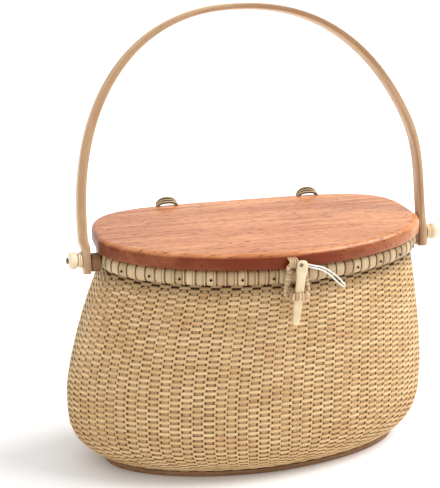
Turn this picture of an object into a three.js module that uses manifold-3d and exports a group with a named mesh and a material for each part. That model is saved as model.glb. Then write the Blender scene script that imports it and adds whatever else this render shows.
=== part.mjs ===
import * as THREE from 'three';
import { mergeVertices } from 'three/addons/utils/BufferGeometryUtils.js';
import Module from 'manifold-3d';

// Oval lidded basket with a swing handle. Millimetres, +Z up, front along -Y, right along +X.
// The origin is on the floor, under the middle of the lid.

// Fits
const gap = 0.3;
const cutOverrun = 2;
const seatGap = 0.5;

// Base plate
const footHalfLength = 128.5;
const footHalfDepth = 55.3;
const baseHeight = 8.1;
const grooveDepth = 4;

// Body outline: foot, bulge and rim
const bodyCurveShare = 1.9;
const bulgeHalfLength = 147.6;
const bulgeHalfDepth = 78.5;
const bulgeHeight = 61.7;
const bulgeShiftX = -9.3;
const bulgeShiftY = 4;
const lowerCurveShare = 4.1;
const upperCurveShare = 1.41;
const rimHalfLength = 123.6;
const rimFrontDepth = 68;
const rimBackDepth = 62.5;
const frontCurveShare = 1.84;
const backCurveShare = 4;

// Wall and staves
const wallThickness = 2.2;
const staveCount = 84;
const staveThickness = 1;
const staveWidth = 4.2;
const staveTopWidth = 2.5;
const footRingLip = 0.2;
const wallLevelShares = [0, 0.035, 0.09, 0.16, 0.28, 0.46, 0.7, 1];
const staveLevelPicks = [0, 2, 5, 7];

// Rim hoops, filler and lashing
const hoopHeight = 8.6;
const outerHoopThickness = 5.2;
const innerHoopThickness = 4;
const fillerHeight = 1.2;
const strapThickness = 0.8;
const strapWidth = 6.2;
const lashingChamfer = 1.7;

// Lid
const lidOverhang = 6.4;
const lidTopHeight = 187.1;
const lidThickness = 12;
const lidRound = 3;
const lidStepCount = 76;

// Lid hinges
const hingeStaveCount = 8;
const hingeAxisFromEdge = 4.9;
const hingeAxisRise = 1.2;
const hingeLoopHalfWidth = 8;
const hingeLoopRise = 6.1;
const hingeLoopSpacing = 2.7;
const hingeCane = 2;
const tieInnerRadius = 2.7;
const notchRoom = 0.6;
const tieWidthShare = 0.55;
const tieTurnCount = 2;

// Handle and its pivots
const pivotBelowTop = 17.2;
const pivotShiftX = -1.85;
const handleRise = 186.1;
const handleCurveShare = 2.22;
const handleShiftX = -2;
const handleLegs = {
  left: { shoulder: 20.4, bendStart: 7.5, bendEnd: 16, outward: 0 },
  right: { shoulder: 32, bendStart: 70, bendEnd: 130, outward: 1.9 },
};
const handleOutwardFrom = 36;
const handleOutwardTo = 108;
const handleBendX = -2.25;
const handleThickness = 6;
const handleTopThickness = 4.7;
const handleWidth = 10.4;
const handleChamfer = 1.4;
const paddleWidth = 12;
const paddleThickness = 6.6;
const paddleTipShare = 0.72;
const handleTail = 11;
const handleLean = -15;
const pivotPinDiameter = 3;
const pivotBoreRoom = 0.4;
const pinDepthInEar = 2.4;
const earThickness = 5.15;
const earWidth = 11;
const earAbove = 4.2;
const earBelow = 9.5;
const washerDiameter = 12.5;
const washerThickness = 2.8;
const knobDiameter = 13.2;
const knobNeckDiameter = 9;
const knobLength = 7;
const knobOutlineShares = [[0, 0.2], [0.22, 0.85], [0.45, 1], [0.7, 0.85], [0.9, 0.3], [1, -0.5]];
const pinHeadDiameter = 5;
const pinTip = 1.8;

// Latch
const latchX = 4;
const hangReach = 3.6;
const hangBelowTop = 6.6;
const haspCane = 3.2;
const haspHalfWidth = 8.4;
const haspLength = 31;
const haspCornerRadius = 4.5;
const haspLegShares = [[0, 1], [0.22, 2.1], [0.6, 1.7], [0.85, 1.15], [1, 1]];
const eyeOffsetX = -3;
const eyeCane = 1.8;
const eyeHalfHeight = 3.1;
const stapleBelowHang = 22.9;
const stapleNeck = 3.7;
const stapleHalfWidth = 5.9;
const stapleDepth = 3.2;
const stapleTall = 5.8;
const stapleBendShares = [[0.89, 0.22], [1, 0.47], [1, 0.73], [0.72, 0.93], [0.3, 1]];
const pegLength = 50;
const pegLean = 5.5;
const pegWidth = 8.2;
const pegThickness = 4.4;
const pegStationShares = [
  [0, 0.8, 0.8],
  [0.03, 1, 1],
  [0.16, 1, 1],
  [0.24, 0.78, 1],
  [0.6, 0.78, 0.96],
  [0.97, 0.634, 0.8],
  [1, 0.444, 0.6],
];
const pegRoom = 1.8;
const pegAboveStaple = 26.7;
const eyeletDiameter = 3.2;
const eyeletBelowTop = 2.9;
const eyeletOffsetX = -1.6;
const stringDiameter = 1.2;

// Rim nails
const nailStaveCount = 3;
const nailDiameter = 1.9;
const nailHead = 0.7;

// Heights that follow from the sizes above
const lidBottom = lidTopHeight - lidThickness;
const lashingTop = lidBottom - seatGap;
const fillerTop = lashingTop - strapThickness - gap;
const hoopTop = fillerTop - fillerHeight - gap;
const hoopBottom = hoopTop - hoopHeight;
const wallTop = hoopBottom - 2 * gap - strapThickness;
const wallBottom = baseHeight + gap;
const staveFoot = baseHeight - grooveDepth + gap;
const staveTop = hoopTop;
const pivotHeight = lidTopHeight - pivotBelowTop;
const hangHeight = lidTopHeight - hangBelowTop;
const stapleHeight = hangHeight - stapleBelowHang;
const pegTopHeight = stapleHeight + pegAboveStaple;
const hingeAxisHeight = lidBottom + hingeAxisRise;
const hingeLoopHeight = lidTopHeight + hingeLoopRise;

// The lid and what stands on its edges
const lidHalfLength = rimHalfLength + lidOverhang;
const lidHalfDepth = rimFrontDepth + lidOverhang;
const hingeAxisDepth = lidHalfDepth - hingeAxisFromEdge;
const hangDepth = lidHalfDepth + hangReach;
const pegBackDepth = hangDepth + haspCane / 2 + pegRoom;

// Depths outward from the outer face of the wall, at the rim
const staveOuter = -wallThickness - gap;
const staveInner = staveOuter - staveThickness;
const footRingInner = staveInner - footRingLip;
const footRingOuter = staveOuter + footRingLip;
const outerHoopInner = staveOuter + gap;
const outerHoopFace = outerHoopInner + outerHoopThickness;
const innerHoopOuter = staveInner - gap;
const innerHoopFace = innerHoopOuter - innerHoopThickness;
const strapInside = outerHoopFace + gap;
const strapOutside = strapInside + strapThickness;
const strapHollow = innerHoopFace - 2 * gap;

// Places along the pivots, from the middle of the basket outward
const earInner = rimHalfLength + strapOutside + gap;
const earOuter = earInner + earThickness;
const paddleInner = earOuter + gap;
const paddleOuter = paddleInner + paddleThickness;
const pivotHalfSpan = (paddleInner + paddleOuter) / 2;
const washerInner = paddleOuter + gap;
const washerOuter = washerInner + washerThickness;
const knobInner = washerOuter + gap;
const knobOuter = knobInner + knobLength;
const pinInner = earOuter - pinDepthInEar;
const pinOuter = knobOuter + pinTip;

const wasm = await Module();
wasm.setup();

const mix = (a, b, share) => a + (b - a) * share;
const signedPower = (value, power) => Math.sign(value) * Math.abs(value) ** power;

// Ovals
// An oval has its own depth and curve for the front half and the back half.
function ovalPoint(oval, angle) {
  const cosine = Math.cos(angle);
  const front = cosine > 0;
  const curve = front ? oval.frontCurve : oval.backCurve;
  const depth = front ? oval.frontDepth : oval.backDepth;
  const x = oval.halfLength * signedPower(Math.sin(angle), 2 / curve);
  const y = -depth * signedPower(cosine, 2 / curve);
  return new THREE.Vector2(x + oval.shiftX, y + oval.shiftY);
}

function makeOval(halfLength, frontDepth, backDepth, frontCurve, backCurve, shiftX = 0, shiftY = 0) {
  const oval = { halfLength, frontDepth, backDepth, frontCurve, backCurve, shiftX, shiftY };
  const samples = 2400;
  const places = Array.from({ length: samples + 1 }, (_, i) => ovalPoint(oval, (2 * Math.PI * i) / samples));
  const lengths = [0];
  for (let i = 1; i <= samples; i += 1) {
    lengths.push(lengths[i - 1] + places[i].distanceTo(places[i - 1]));
  }
  // Place, direction and outward direction at a share of the way round, from the front middle towards +X
  oval.at = (turn) => {
    const wrapped = turn - Math.floor(turn);
    const wanted = wrapped * lengths[samples];
    let low = 0;
    let high = samples;
    while (high - low > 1) {
      const middle = (low + high) >> 1;
      if (lengths[middle] <= wanted) low = middle;
      else high = middle;
    }
    const part = (wanted - lengths[low]) / (lengths[high] - lengths[low]);
    const point = places[low].clone().lerp(places[high], part);
    const before = places[(low + samples - 3) % samples];
    const after = places[(high + 3) % samples];
    const along = after.clone().sub(before).normalize();
    return { point, along, outward: new THREE.Vector2(along.y, -along.x) };
  };
  return oval;
}

const rimOval = makeOval(rimHalfLength, rimFrontDepth, rimBackDepth, frontCurveShare, backCurveShare);
const footOval = makeOval(footHalfLength, footHalfDepth, footHalfDepth, bodyCurveShare, bodyCurveShare);
const lidOval = makeOval(lidHalfLength, lidHalfDepth, lidHalfDepth, frontCurveShare, backCurveShare);

function bodyOval(height) {
  const lower = height < bulgeHeight;
  const share = lower
    ? Math.max((bulgeHeight - height) / (bulgeHeight - wallBottom), 0) ** lowerCurveShare
    : Math.min((height - bulgeHeight) / (wallTop - bulgeHeight), 1) ** upperCurveShare;
  const end = lower ? footOval : rimOval;
  return makeOval(
    mix(bulgeHalfLength, end.halfLength, share),
    mix(bulgeHalfDepth, end.frontDepth, share),
    mix(bulgeHalfDepth, end.backDepth, share),
    mix(bodyCurveShare, end.frontCurve, share),
    mix(bodyCurveShare, end.backCurve, share),
    mix(bulgeShiftX, 0, share),
    mix(bulgeShiftY, 0, share),
  );
}

// Solids from rows of points
function gridGeometry(rows, closedRows) {
  const across = rows[0].length;
  const positions = rows.flat().flatMap((point) => [point.x, point.y, point.z]);
  const index = [];
  const rowSteps = closedRows ? rows.length : rows.length - 1;
  for (let i = 0; i < rowSteps; i += 1) {
    const here = i * across;
    const next = ((i + 1) % rows.length) * across;
    for (let j = 0; j < across; j += 1) {
      const k = (j + 1) % across;
      index.push(here + j, here + k, next + k, here + j, next + k, next + j);
    }
  }
  if (!closedRows) {
    const last = (rows.length - 1) * across;
    for (let j = 1; j < across - 1; j += 1) {
      index.push(0, j + 1, j, last, last + j, last + j + 1);
    }
  }
  const geometry = new THREE.BufferGeometry();
  geometry.setAttribute('position', new THREE.Float32BufferAttribute(positions, 3));
  geometry.setIndex(index);
  return facingOut(geometry);
}

function volumeOf(geometry) {
  const place = geometry.attributes.position;
  const corners = [new THREE.Vector3(), new THREE.Vector3(), new THREE.Vector3()];
  let total = 0;
  for (let i = 0; i < geometry.index.count; i += 3) {
    corners.forEach((corner, k) => corner.fromBufferAttribute(place, geometry.index.getX(i + k)));
    total += corners[0].dot(corners[1].cross(corners[2]));
  }
  return total / 6;
}

function facingOut(geometry) {
  if (volumeOf(geometry) < 0) {
    const order = geometry.index.array;
    for (let i = 0; i < order.length; i += 3) {
      [order[i + 1], order[i + 2]] = [order[i + 2], order[i + 1]];
    }
  }
  return geometry;
}

function bare(geometry) {
  const plain = geometry.clone();
  plain.deleteAttribute('normal');
  plain.deleteAttribute('uv');
  return mergeVertices(plain);
}

function toSolid(geometry) {
  const merged = bare(geometry);
  return new wasm.Manifold(
    new wasm.Mesh({
      numProp: 3,
      vertProperties: new Float32Array(merged.attributes.position.array),
      triVerts: new Uint32Array(merged.index.array),
    }),
  );
}

function toGeometry(solid) {
  const mesh = solid.getMesh();
  const geometry = new THREE.BufferGeometry();
  geometry.setAttribute('position', new THREE.Float32BufferAttribute(mesh.vertProperties, 3));
  geometry.setIndex(Array.from(mesh.triVerts));
  return geometry;
}

function cut(body, tools) {
  return toGeometry(tools.reduce((solid, tool) => solid.subtract(toSolid(tool)), toSolid(body)));
}

// A section of half sizes swept along a path; spread scales it at each point as [across, through]
function sweep(points, section, options = {}) {
  const { closed = false, up = new THREE.Vector3(0, 0, 1), spread = () => [1, 1] } = options;
  const count = points.length;
  const rows = points.map((point, i) => {
    const before = points[closed ? (i + count - 1) % count : Math.max(i - 1, 0)];
    const after = points[closed ? (i + 1) % count : Math.min(i + 1, count - 1)];
    const forward = after.clone().sub(before).normalize();
    const across = new THREE.Vector3().crossVectors(forward, up).normalize();
    const through = new THREE.Vector3().crossVectors(across, forward);
    const [wide, deep] = spread(i / (count - 1));
    return section.map(([a, b]) =>
      point.clone().addScaledVector(across, a * wide).addScaledVector(through, b * deep),
    );
  });
  return gridGeometry(rows, closed);
}

function roundSection(diameter, sides, tall = diameter) {
  return Array.from({ length: sides }, (_, i) => {
    const angle = (2 * Math.PI * (i + 0.5)) / sides;
    return [(Math.cos(angle) * diameter) / 2, (Math.sin(angle) * tall) / 2];
  });
}

function turnedAboutX(profile, sides) {
  const shape = new THREE.LatheGeometry(profile.map(([r, h]) => new THREE.Vector2(r, h)), sides);
  return facingOut(bare(shape.rotateZ(-Math.PI / 2)));
}

// Assembly
const basket = new THREE.Group();

const materials = {
  weave: new THREE.MeshStandardMaterial({ color: 0xd9bd88, roughness: 0.7, metalness: 0 }),
  stave: new THREE.MeshStandardMaterial({ color: 0xdcc79c, roughness: 0.65, metalness: 0 }),
  cane: new THREE.MeshStandardMaterial({ color: 0xe6d6ae, roughness: 0.5, metalness: 0 }),
  ash: new THREE.MeshStandardMaterial({ color: 0xd8b888, roughness: 0.45, metalness: 0 }),
  cherry: new THREE.MeshStandardMaterial({ color: 0xb4653a, roughness: 0.3, metalness: 0 }),
  base: new THREE.MeshStandardMaterial({ color: 0xc79e66, roughness: 0.5, metalness: 0 }),
  bone: new THREE.MeshStandardMaterial({ color: 0xece3c6, roughness: 0.35, metalness: 0 }),
  metal: new THREE.MeshStandardMaterial({ color: 0x8a8174, roughness: 0.35, metalness: 1 }),
  nail: new THREE.MeshStandardMaterial({ color: 0x4a3a2a, roughness: 0.5, metalness: 1 }),
  string: new THREE.MeshStandardMaterial({ color: 0xf6f4ee, roughness: 0.8, metalness: 0 }),
};

function addPiece(name, geometry, material, parent = basket) {
  const mesh = new THREE.Mesh(geometry, material);
  mesh.name = name;
  parent.add(mesh);
  return mesh;
}

// Rings of vertices at the gaps between staves
function ringAt(oval, outward, height) {
  return Array.from({ length: staveCount }, (_, j) => {
    const place = oval.at((j + 0.5) / staveCount);
    const point = place.point.clone().addScaledVector(place.outward, outward);
    return new THREE.Vector3(point.x, point.y, height);
  });
}

// Middle of the facet that carries stave j, with the directions of that facet
function facetAt(oval, j, outward, height) {
  const left = oval.at((j - 0.5) / staveCount);
  const right = oval.at((j + 0.5) / staveCount);
  const from = left.point.clone().addScaledVector(left.outward, -wallThickness);
  const to = right.point.clone().addScaledVector(right.outward, -wallThickness);
  const along = to.clone().sub(from).normalize();
  const normal = new THREE.Vector2(along.y, -along.x);
  const middle = from.lerp(to, 0.5).addScaledVector(normal, outward + wallThickness);
  return {
    point: new THREE.Vector3(middle.x, middle.y, height),
    along: new THREE.Vector3(along.x, along.y, 0),
    outward: new THREE.Vector3(normal.x, normal.y, 0),
  };
}

// Band of rectangular section, between two depths and two heights
function ringBand(oval, inner, outer, low, high) {
  const rows = [
    ringAt(oval, outer, low),
    ringAt(oval, outer, high),
    ringAt(oval, inner, high),
    ringAt(oval, inner, low),
  ];
  return gridGeometry(rows, true);
}

// Base plate with the groove for the stave feet
function basePlate() {
  const outline = new THREE.Shape(ringAt(footOval, 0, 0).map((p) => new THREE.Vector2(p.x, p.y)));
  const plate = new THREE.ExtrudeGeometry(outline, { depth: baseHeight, bevelEnabled: false });
  const floor = baseHeight - grooveDepth;
  const groove = ringBand(footOval, footRingInner - gap, footRingOuter + gap, floor, baseHeight + cutOverrun);
  return cut(plate, [groove]);
}

const wallLevels = wallLevelShares.map((share) => mix(wallBottom, wallTop, share));
const wallOvals = wallLevels.map((height) => bodyOval(height));

function wovenWall() {
  const outer = wallLevels.map((height, i) => ringAt(wallOvals[i], 0, height));
  const inner = wallLevels.map((height, i) => ringAt(wallOvals[i], -wallThickness, height));
  return gridGeometry([...outer, ...inner.reverse()], true);
}

// Staves: thin ribs behind the weave, narrower between the hoops, on one foot ring in the groove
function staves() {
  const footRing = ringBand(footOval, footRingInner, footRingOuter, staveFoot, wallBottom + 2 * gap);
  const ribs = [];
  for (let j = 0; j < staveCount; j += 1) {
    const stations = staveLevelPicks.map((pick) => ({ oval: wallOvals[pick], height: wallLevels[pick] }));
    stations.push({ oval: rimOval, height: staveTop });
    const rows = stations.map(({ oval, height }, i) => {
      const half = (height < wallTop ? staveWidth : staveTopWidth) / 2;
      return [
        [-half, staveInner],
        [half, staveInner],
        [half, staveOuter],
        [-half, staveOuter],
      ].map(([across, outward]) => {
        const facet = facetAt(oval, j, outward, height);
        return facet.point.addScaledVector(facet.along, across);
      });
    });
    ribs.push(toSolid(gridGeometry(rows, false)));
  }
  return toGeometry(ribs.reduce((cage, rib) => cage.add(rib), toSolid(footRing)));
}

function rimFiller() {
  const low = hoopTop + gap;
  const middle = (innerHoopOuter + outerHoopInner) / 2;
  const half = (outerHoopInner - innerHoopOuter) / 2 + innerHoopThickness / 2;
  const rows = [
    ringAt(rimOval, middle + half, low),
    ringAt(rimOval, middle, fillerTop),
    ringAt(rimOval, middle - half, low),
  ];
  return gridGeometry(rows, true);
}

// Flat cane path round the rim, as the corners of its inner face [depth, height].
// lift leads to the outer face, and the last corner is one slot on, where the next turn starts.
const bevelLift = strapThickness * Math.tan(Math.PI / 8);
const strapLow = hoopBottom - gap;
const strapHigh = fillerTop + gap;
const strapCorners = [
  { inside: [strapInside, strapLow], lift: [strapThickness, -strapThickness], widthShare: 0.7 },
  { inside: [strapInside, strapHigh - lashingChamfer], lift: [strapThickness, bevelLift], widthShare: 1 },
  { inside: [strapInside - lashingChamfer, strapHigh], lift: [bevelLift, strapThickness], widthShare: 1 },
  { inside: [strapHollow, strapHigh], lift: [-strapThickness, strapThickness], widthShare: 0.6 },
  { inside: [strapHollow, strapLow], lift: [-strapThickness, -strapThickness], widthShare: 0.55 },
];

function strapRow(corner, slot) {
  const place = rimOval.at(slot / staveCount);
  const along = new THREE.Vector3(place.along.x, place.along.y, 0);
  const [depth, height] = corner.inside;
  const half = (corner.widthShare * strapWidth) / 2;
  return [
    [-half, 0],
    [half, 0],
    [half, 1],
    [-half, 1],
  ].map(([across, layer]) => {
    const outward = depth + layer * corner.lift[0];
    const point = place.point.clone().addScaledVector(place.outward, outward);
    return new THREE.Vector3(point.x, point.y, height + layer * corner.lift[1]).addScaledVector(along, across);
  });
}

function winding(corners, firstSlot, turns) {
  const rows = [];
  for (let turn = 0; turn < turns; turn += 1) {
    corners.forEach((corner, i) => {
      const advance = i === corners.length - 1 ? 1 : 0;
      rows.push(strapRow(corner, firstSlot + turn + advance));
    });
  }
  return { geometry: gridGeometry(rows, false), rows };
}

// Least distance between the edge points of neighbouring turns
function leastTurnGap(rows, perTurn) {
  let least = Infinity;
  for (let i = 0; i + perTurn < rows.length; i += 1) {
    for (const a of rows[i]) {
      for (const b of rows[i + perTurn]) {
        least = Math.min(least, a.distanceTo(b));
      }
    }
  }
  return least;
}

// Round nail head on the lashing, over the outer hoop
function rimNail(slot) {
  const place = rimOval.at(slot / staveCount);
  const head = new THREE.CylinderGeometry(nailDiameter / 2, nailDiameter / 2, nailHead, 6);
  const outward = new THREE.Vector3(place.outward.x, place.outward.y, 0);
  head.applyQuaternion(new THREE.Quaternion().setFromUnitVectors(new THREE.Vector3(0, 1, 0), outward));
  const point = place.point.clone().addScaledVector(place.outward, strapOutside + gap + nailHead / 2);
  return bare(head.translate(point.x, point.y, (hoopBottom + hoopTop) / 2));
}

// Hinges: loops of two turns through the lid, tied to the rim
const backSlot = staveCount / 2;
const hingeSlots = [backSlot + hingeStaveCount, backSlot - hingeStaveCount];
const hingeSides = hingeSlots.map((slot) => ({
  slot,
  x: rimOval.at(slot / staveCount).point.x,
}));

function loopPath(centreX) {
  const corner = hingeCane;
  const shoulder = lidTopHeight;
  const archSteps = 8;
  const points = [];
  for (const lane of [-0.5, 0.5]) {
    const y = hingeAxisDepth + lane * hingeLoopSpacing;
    points.push(new THREE.Vector3(centreX - hingeLoopHalfWidth + corner, y, hingeAxisHeight));
    points.push(new THREE.Vector3(centreX - hingeLoopHalfWidth, y, hingeAxisHeight + corner));
    for (let i = 0; i <= archSteps; i += 1) {
      const angle = Math.PI * (1 - i / archSteps);
      points.push(
        new THREE.Vector3(
          centreX + hingeLoopHalfWidth * Math.cos(angle),
          y,
          shoulder + (hingeLoopHeight - shoulder) * Math.sin(angle),
        ),
      );
    }
    points.push(new THREE.Vector3(centreX + hingeLoopHalfWidth, y, hingeAxisHeight + corner));
    points.push(new THREE.Vector3(centreX + hingeLoopHalfWidth - corner, y, hingeAxisHeight));
  }
  return points;
}

function hingeTie(side) {
  const place = rimOval.at(side.slot / staveCount);
  const axisOut = hingeAxisDepth - place.point.y;
  const bend = tieInnerRadius * Math.tan(Math.PI / 8);
  const over = hingeAxisHeight + tieInnerRadius;
  const path = [
    { inside: [strapInside, strapLow], lift: [strapThickness, -strapThickness] },
    { inside: [axisOut + tieInnerRadius, hingeAxisHeight - bend], lift: [strapThickness, 0] },
    { inside: [axisOut + tieInnerRadius, hingeAxisHeight + bend], lift: [strapThickness, bevelLift] },
    { inside: [axisOut + bend, over], lift: [bevelLift, strapThickness] },
    { inside: [axisOut - bend, over], lift: [-bevelLift, strapThickness] },
    { inside: [axisOut - tieInnerRadius, hingeAxisHeight + bend], lift: [-strapThickness, bevelLift] },
    { inside: [axisOut - tieInnerRadius, strapHigh], lift: [-strapThickness, strapThickness] },
    { inside: [strapHollow, strapHigh], lift: [-strapThickness, strapThickness] },
    { inside: [strapHollow, strapLow], lift: [-strapThickness, -strapThickness] },
  ];
  const corners = path.map((corner) => ({ ...corner, widthShare: tieWidthShare }));
  return { ...winding(corners, side.slot - 0.5, tieTurnCount), perTurn: corners.length };
}

// Lid with the holes and notches of its hinges
function lidBoard() {
  const outline = Array.from({ length: lidStepCount }, (_, i) => {
    const place = lidOval.at(i / lidStepCount);
    return place.point.clone().addScaledVector(place.outward, -lidRound);
  });
  const board = new THREE.ExtrudeGeometry(new THREE.Shape(outline), {
    depth: lidThickness - 2 * lidRound,
    bevelThickness: lidRound,
    bevelSize: lidRound,
    bevelSegments: 2,
  });
  board.translate(0, 0, lidBottom + lidRound);
  const tools = [];
  const lane = hingeLoopSpacing + hingeCane + 2 * notchRoom;
  const leg = hingeCane + 2 * notchRoom;
  const notchFront = hingeAxisDepth - tieInnerRadius - strapThickness - 2 * notchRoom;
  const notchBack = lidHalfDepth + cutOverrun;
  const notchTop = hingeAxisHeight + tieInnerRadius + strapThickness + notchRoom;
  const notchHalf = hingeLoopHalfWidth + leg / 2;
  for (const side of hingeSides) {
    const notchHeight = notchTop - lidBottom + cutOverrun;
    const notch = new THREE.BoxGeometry(2 * notchHalf, notchBack - notchFront, notchHeight);
    notch.translate(side.x, (notchBack + notchFront) / 2, (notchTop + lidBottom - cutOverrun) / 2);
    tools.push(notch);
    for (const hand of [-1, 1]) {
      const hole = new THREE.BoxGeometry(leg, lane, lidThickness + 2 * cutOverrun);
      hole.translate(side.x + hand * hingeLoopHalfWidth, hingeAxisDepth, lidBottom + lidThickness / 2);
      tools.push(hole);
    }
  }
  return cut(board, tools);
}

// Handle: a bow with flat paddles at the pivots, leaning back at rest
// The bow stands a little to the left of its paddles. The right leg keeps clear of the lid as that opens.
function handleCentre(hand, share, across) {
  const leg = hand < 0 ? handleLegs.left : handleLegs.right;
  const height = share > 0 ? mix(leg.shoulder, handleRise, share) : across * leg.shoulder;
  const bend = THREE.MathUtils.smoothstep(height, leg.bendStart, leg.bendEnd);
  const along = THREE.MathUtils.clamp((height - handleOutwardFrom) / (handleOutwardTo - handleOutwardFrom), 0, 1);
  const outward = leg.outward * Math.sin(Math.PI * along) ** 2;
  return { height, shift: pivotShiftX + handleBendX * bend + handleShiftX * share ** 2 + outward };
}

function handleBow() {
  const tailSteps = 2;
  const legSteps = 4;
  const archSteps = 30;
  const points = [];
  const leg = (hand) => {
    const side = [];
    for (let i = -tailSteps; i < 0; i += 1) {
      side.push(new THREE.Vector3(hand * pivotHalfSpan + pivotShiftX, 0, (handleTail * i) / tailSteps));
    }
    for (let i = 0; i < legSteps; i += 1) {
      const { height, shift } = handleCentre(hand, 0, i / legSteps);
      side.push(new THREE.Vector3(hand * pivotHalfSpan + shift, 0, height));
    }
    return side;
  };
  points.push(...leg(-1));
  const legCount = points.length;
  const shares = Array(legCount).fill(0);
  for (let i = 0; i <= archSteps; i += 1) {
    const angle = Math.PI * (1 - i / archSteps);
    const share = Math.abs(Math.sin(angle)) ** (2 / handleCurveShare);
    const { height, shift } = handleCentre(Math.cos(angle), share, 1);
    const x = pivotHalfSpan * signedPower(Math.cos(angle), 2 / handleCurveShare);
    points.push(new THREE.Vector3(x + shift, 0, height));
    shares.push(share);
  }
  points.push(...leg(1).reverse());
  shares.push(...Array(legCount).fill(0));
  const halfWidth = handleWidth / 2;
  const halfThick = handleThickness / 2;
  const edge = handleChamfer;
  const section = [
    [-halfWidth, -halfThick + edge],
    [-halfWidth + edge, -halfThick],
    [halfWidth - edge, -halfThick],
    [halfWidth, -halfThick + edge],
    [halfWidth, halfThick - edge],
    [halfWidth - edge, halfThick],
    [-halfWidth + edge, halfThick],
    [-halfWidth, halfThick - edge],
  ];
  const rows = points.map((point, i) => {
    const before = points[Math.max(i - 1, 0)];
    const after = points[Math.min(i + 1, points.length - 1)];
    const forward = after.clone().sub(before).normalize();
    const through = new THREE.Vector3(-forward.z, 0, forward.x);
    const fromEnd = Math.min(i, points.length - 1 - i);
    const paddle = Math.min(2 * Math.max(1 - fromEnd / legCount, 0), 1);
    const tip = fromEnd === 0 ? paddleTipShare : 1;
    const wide = mix(1, paddleWidth / handleWidth, paddle) * tip;
    const topThin = mix(1, handleTopThickness / handleThickness, shares[i] ** 8);
    const thick = mix(topThin, paddleThickness / handleThickness, paddle);
    return section.map(([a, b]) => {
      const place = point.clone().addScaledVector(through, b * thick);
      place.y += a * wide;
      return place;
    });
  });
  const bow = gridGeometry(rows, false);
  const bores = [-1, 1].map((hand) => {
    const radius = pivotPinDiameter / 2 + pivotBoreRoom;
    const bore = new THREE.CylinderGeometry(radius, radius, paddleThickness + 2 * cutOverrun, 12);
    bore.rotateZ(Math.PI / 2);
    return bore.translate(hand * pivotHalfSpan + pivotShiftX, 0, 0);
  });
  const geometry = cut(bow, bores);
  geometry.rotateX(THREE.MathUtils.degToRad(handleLean));
  return geometry.translate(0, 0, pivotHeight);
}

// Pivot pieces are drawn for the right side; a half turn about Z gives the left side
function pivotEar(shift) {
  const half = earWidth / 2;
  const face = earOuter + shift;
  const shape = new THREE.Shape();
  shape.moveTo(-half, -earBelow + half / 2);
  shape.lineTo(-half / 2, -earBelow);
  shape.lineTo(half / 2, -earBelow);
  shape.lineTo(half, -earBelow + half / 2);
  shape.lineTo(half, earAbove - half / 2);
  shape.lineTo(half / 2, earAbove);
  shape.lineTo(-half / 2, earAbove);
  shape.lineTo(-half, earAbove - half / 2);
  const block = new THREE.ExtrudeGeometry(shape, { depth: face - earInner, bevelEnabled: false });
  block.rotateX(Math.PI / 2);
  block.rotateZ(Math.PI / 2);
  block.translate(earInner, 0, pivotHeight);
  const radius = pivotPinDiameter / 2 + gap;
  const bore = new THREE.CylinderGeometry(radius, radius, pinDepthInEar + gap + cutOverrun, 12);
  bore.rotateZ(Math.PI / 2);
  bore.translate(face + (cutOverrun - pinDepthInEar - gap) / 2, 0, pivotHeight);
  return cut(block, [bore]);
}

function boredTurning(outline, inner, outer, shift) {
  const radius = pivotPinDiameter / 2 + gap;
  return turnedAboutX([[radius, inner], ...outline, [radius, outer], [radius, inner]], 16)
    .translate(shift, 0, pivotHeight);
}

function pivotWasher(shift) {
  const radius = washerDiameter / 2;
  return boredTurning([[radius, washerInner], [radius, washerOuter]], washerInner, washerOuter, shift);
}

function pivotKnob(shift) {
  const radius = knobDiameter / 2;
  const neck = knobNeckDiameter / 2;
  const outline = knobOutlineShares.map(([along, swell]) => [
    mix(neck, radius, swell),
    mix(knobInner, knobOuter, along),
  ]);
  return boredTurning(outline, knobInner, knobOuter, shift);
}

function pivotPin(shift) {
  const shank = pivotPinDiameter / 2;
  const head = pinHeadDiameter / 2;
  const underHead = knobOuter + gap;
  const profile = [
    [0, pinInner],
    [shank, pinInner],
    [shank, underHead],
    [head, underHead],
    [head, mix(underHead, pinOuter, 0.4)],
    [head * 0.6, pinOuter],
    [0, pinOuter],
  ];
  return turnedAboutX(profile, 10).translate(shift, 0, pivotHeight);
}

// Latch
// Closed loop: plain cane at the top and bottom, legs wrapped wider towards the middle
function haspLoop() {
  const bottom = hangHeight - haspLength;
  const shoulder = hangHeight - haspCornerRadius;
  const legFoot = bottom + haspHalfWidth;
  const stations = [];
  const addArc = (centreX, centreZ, radius, quarter, steps) => {
    for (let i = 1; i < steps; i += 1) {
      const angle = (Math.PI / 2) * (quarter + i / steps);
      stations.push([centreX + radius * Math.cos(angle), centreZ + radius * Math.sin(angle), 1]);
    }
  };
  const addLeg = (hand, legShares) => {
    for (const [along, swell] of legShares) {
      const inward = (haspCane / 2) * (swell - 1);
      stations.push([hand * (haspHalfWidth - inward), mix(shoulder, legFoot, along), swell]);
    }
  };
  addLeg(1, [...haspLegShares].reverse());
  addArc(haspHalfWidth - haspCornerRadius, shoulder, haspCornerRadius, 0, 4);
  stations.push([haspHalfWidth - haspCornerRadius, hangHeight, 1]);
  stations.push([haspCornerRadius - haspHalfWidth, hangHeight, 1]);
  addArc(haspCornerRadius - haspHalfWidth, shoulder, haspCornerRadius, 1, 4);
  addLeg(-1, haspLegShares);
  addArc(0, legFoot, haspHalfWidth, 2, 6);
  stations.push([0, bottom, 1]);
  addArc(0, legFoot, haspHalfWidth, 3, 6);
  const points = stations.map(([x, z]) => new THREE.Vector3(latchX + x, -hangDepth, z));
  return sweep(points, roundSection(haspCane, 8), {
    closed: true,
    up: new THREE.Vector3(0, 1, 0),
    spread: (share) => [stations[Math.round(share * (stations.length - 1))][2], 1],
  });
}

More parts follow.
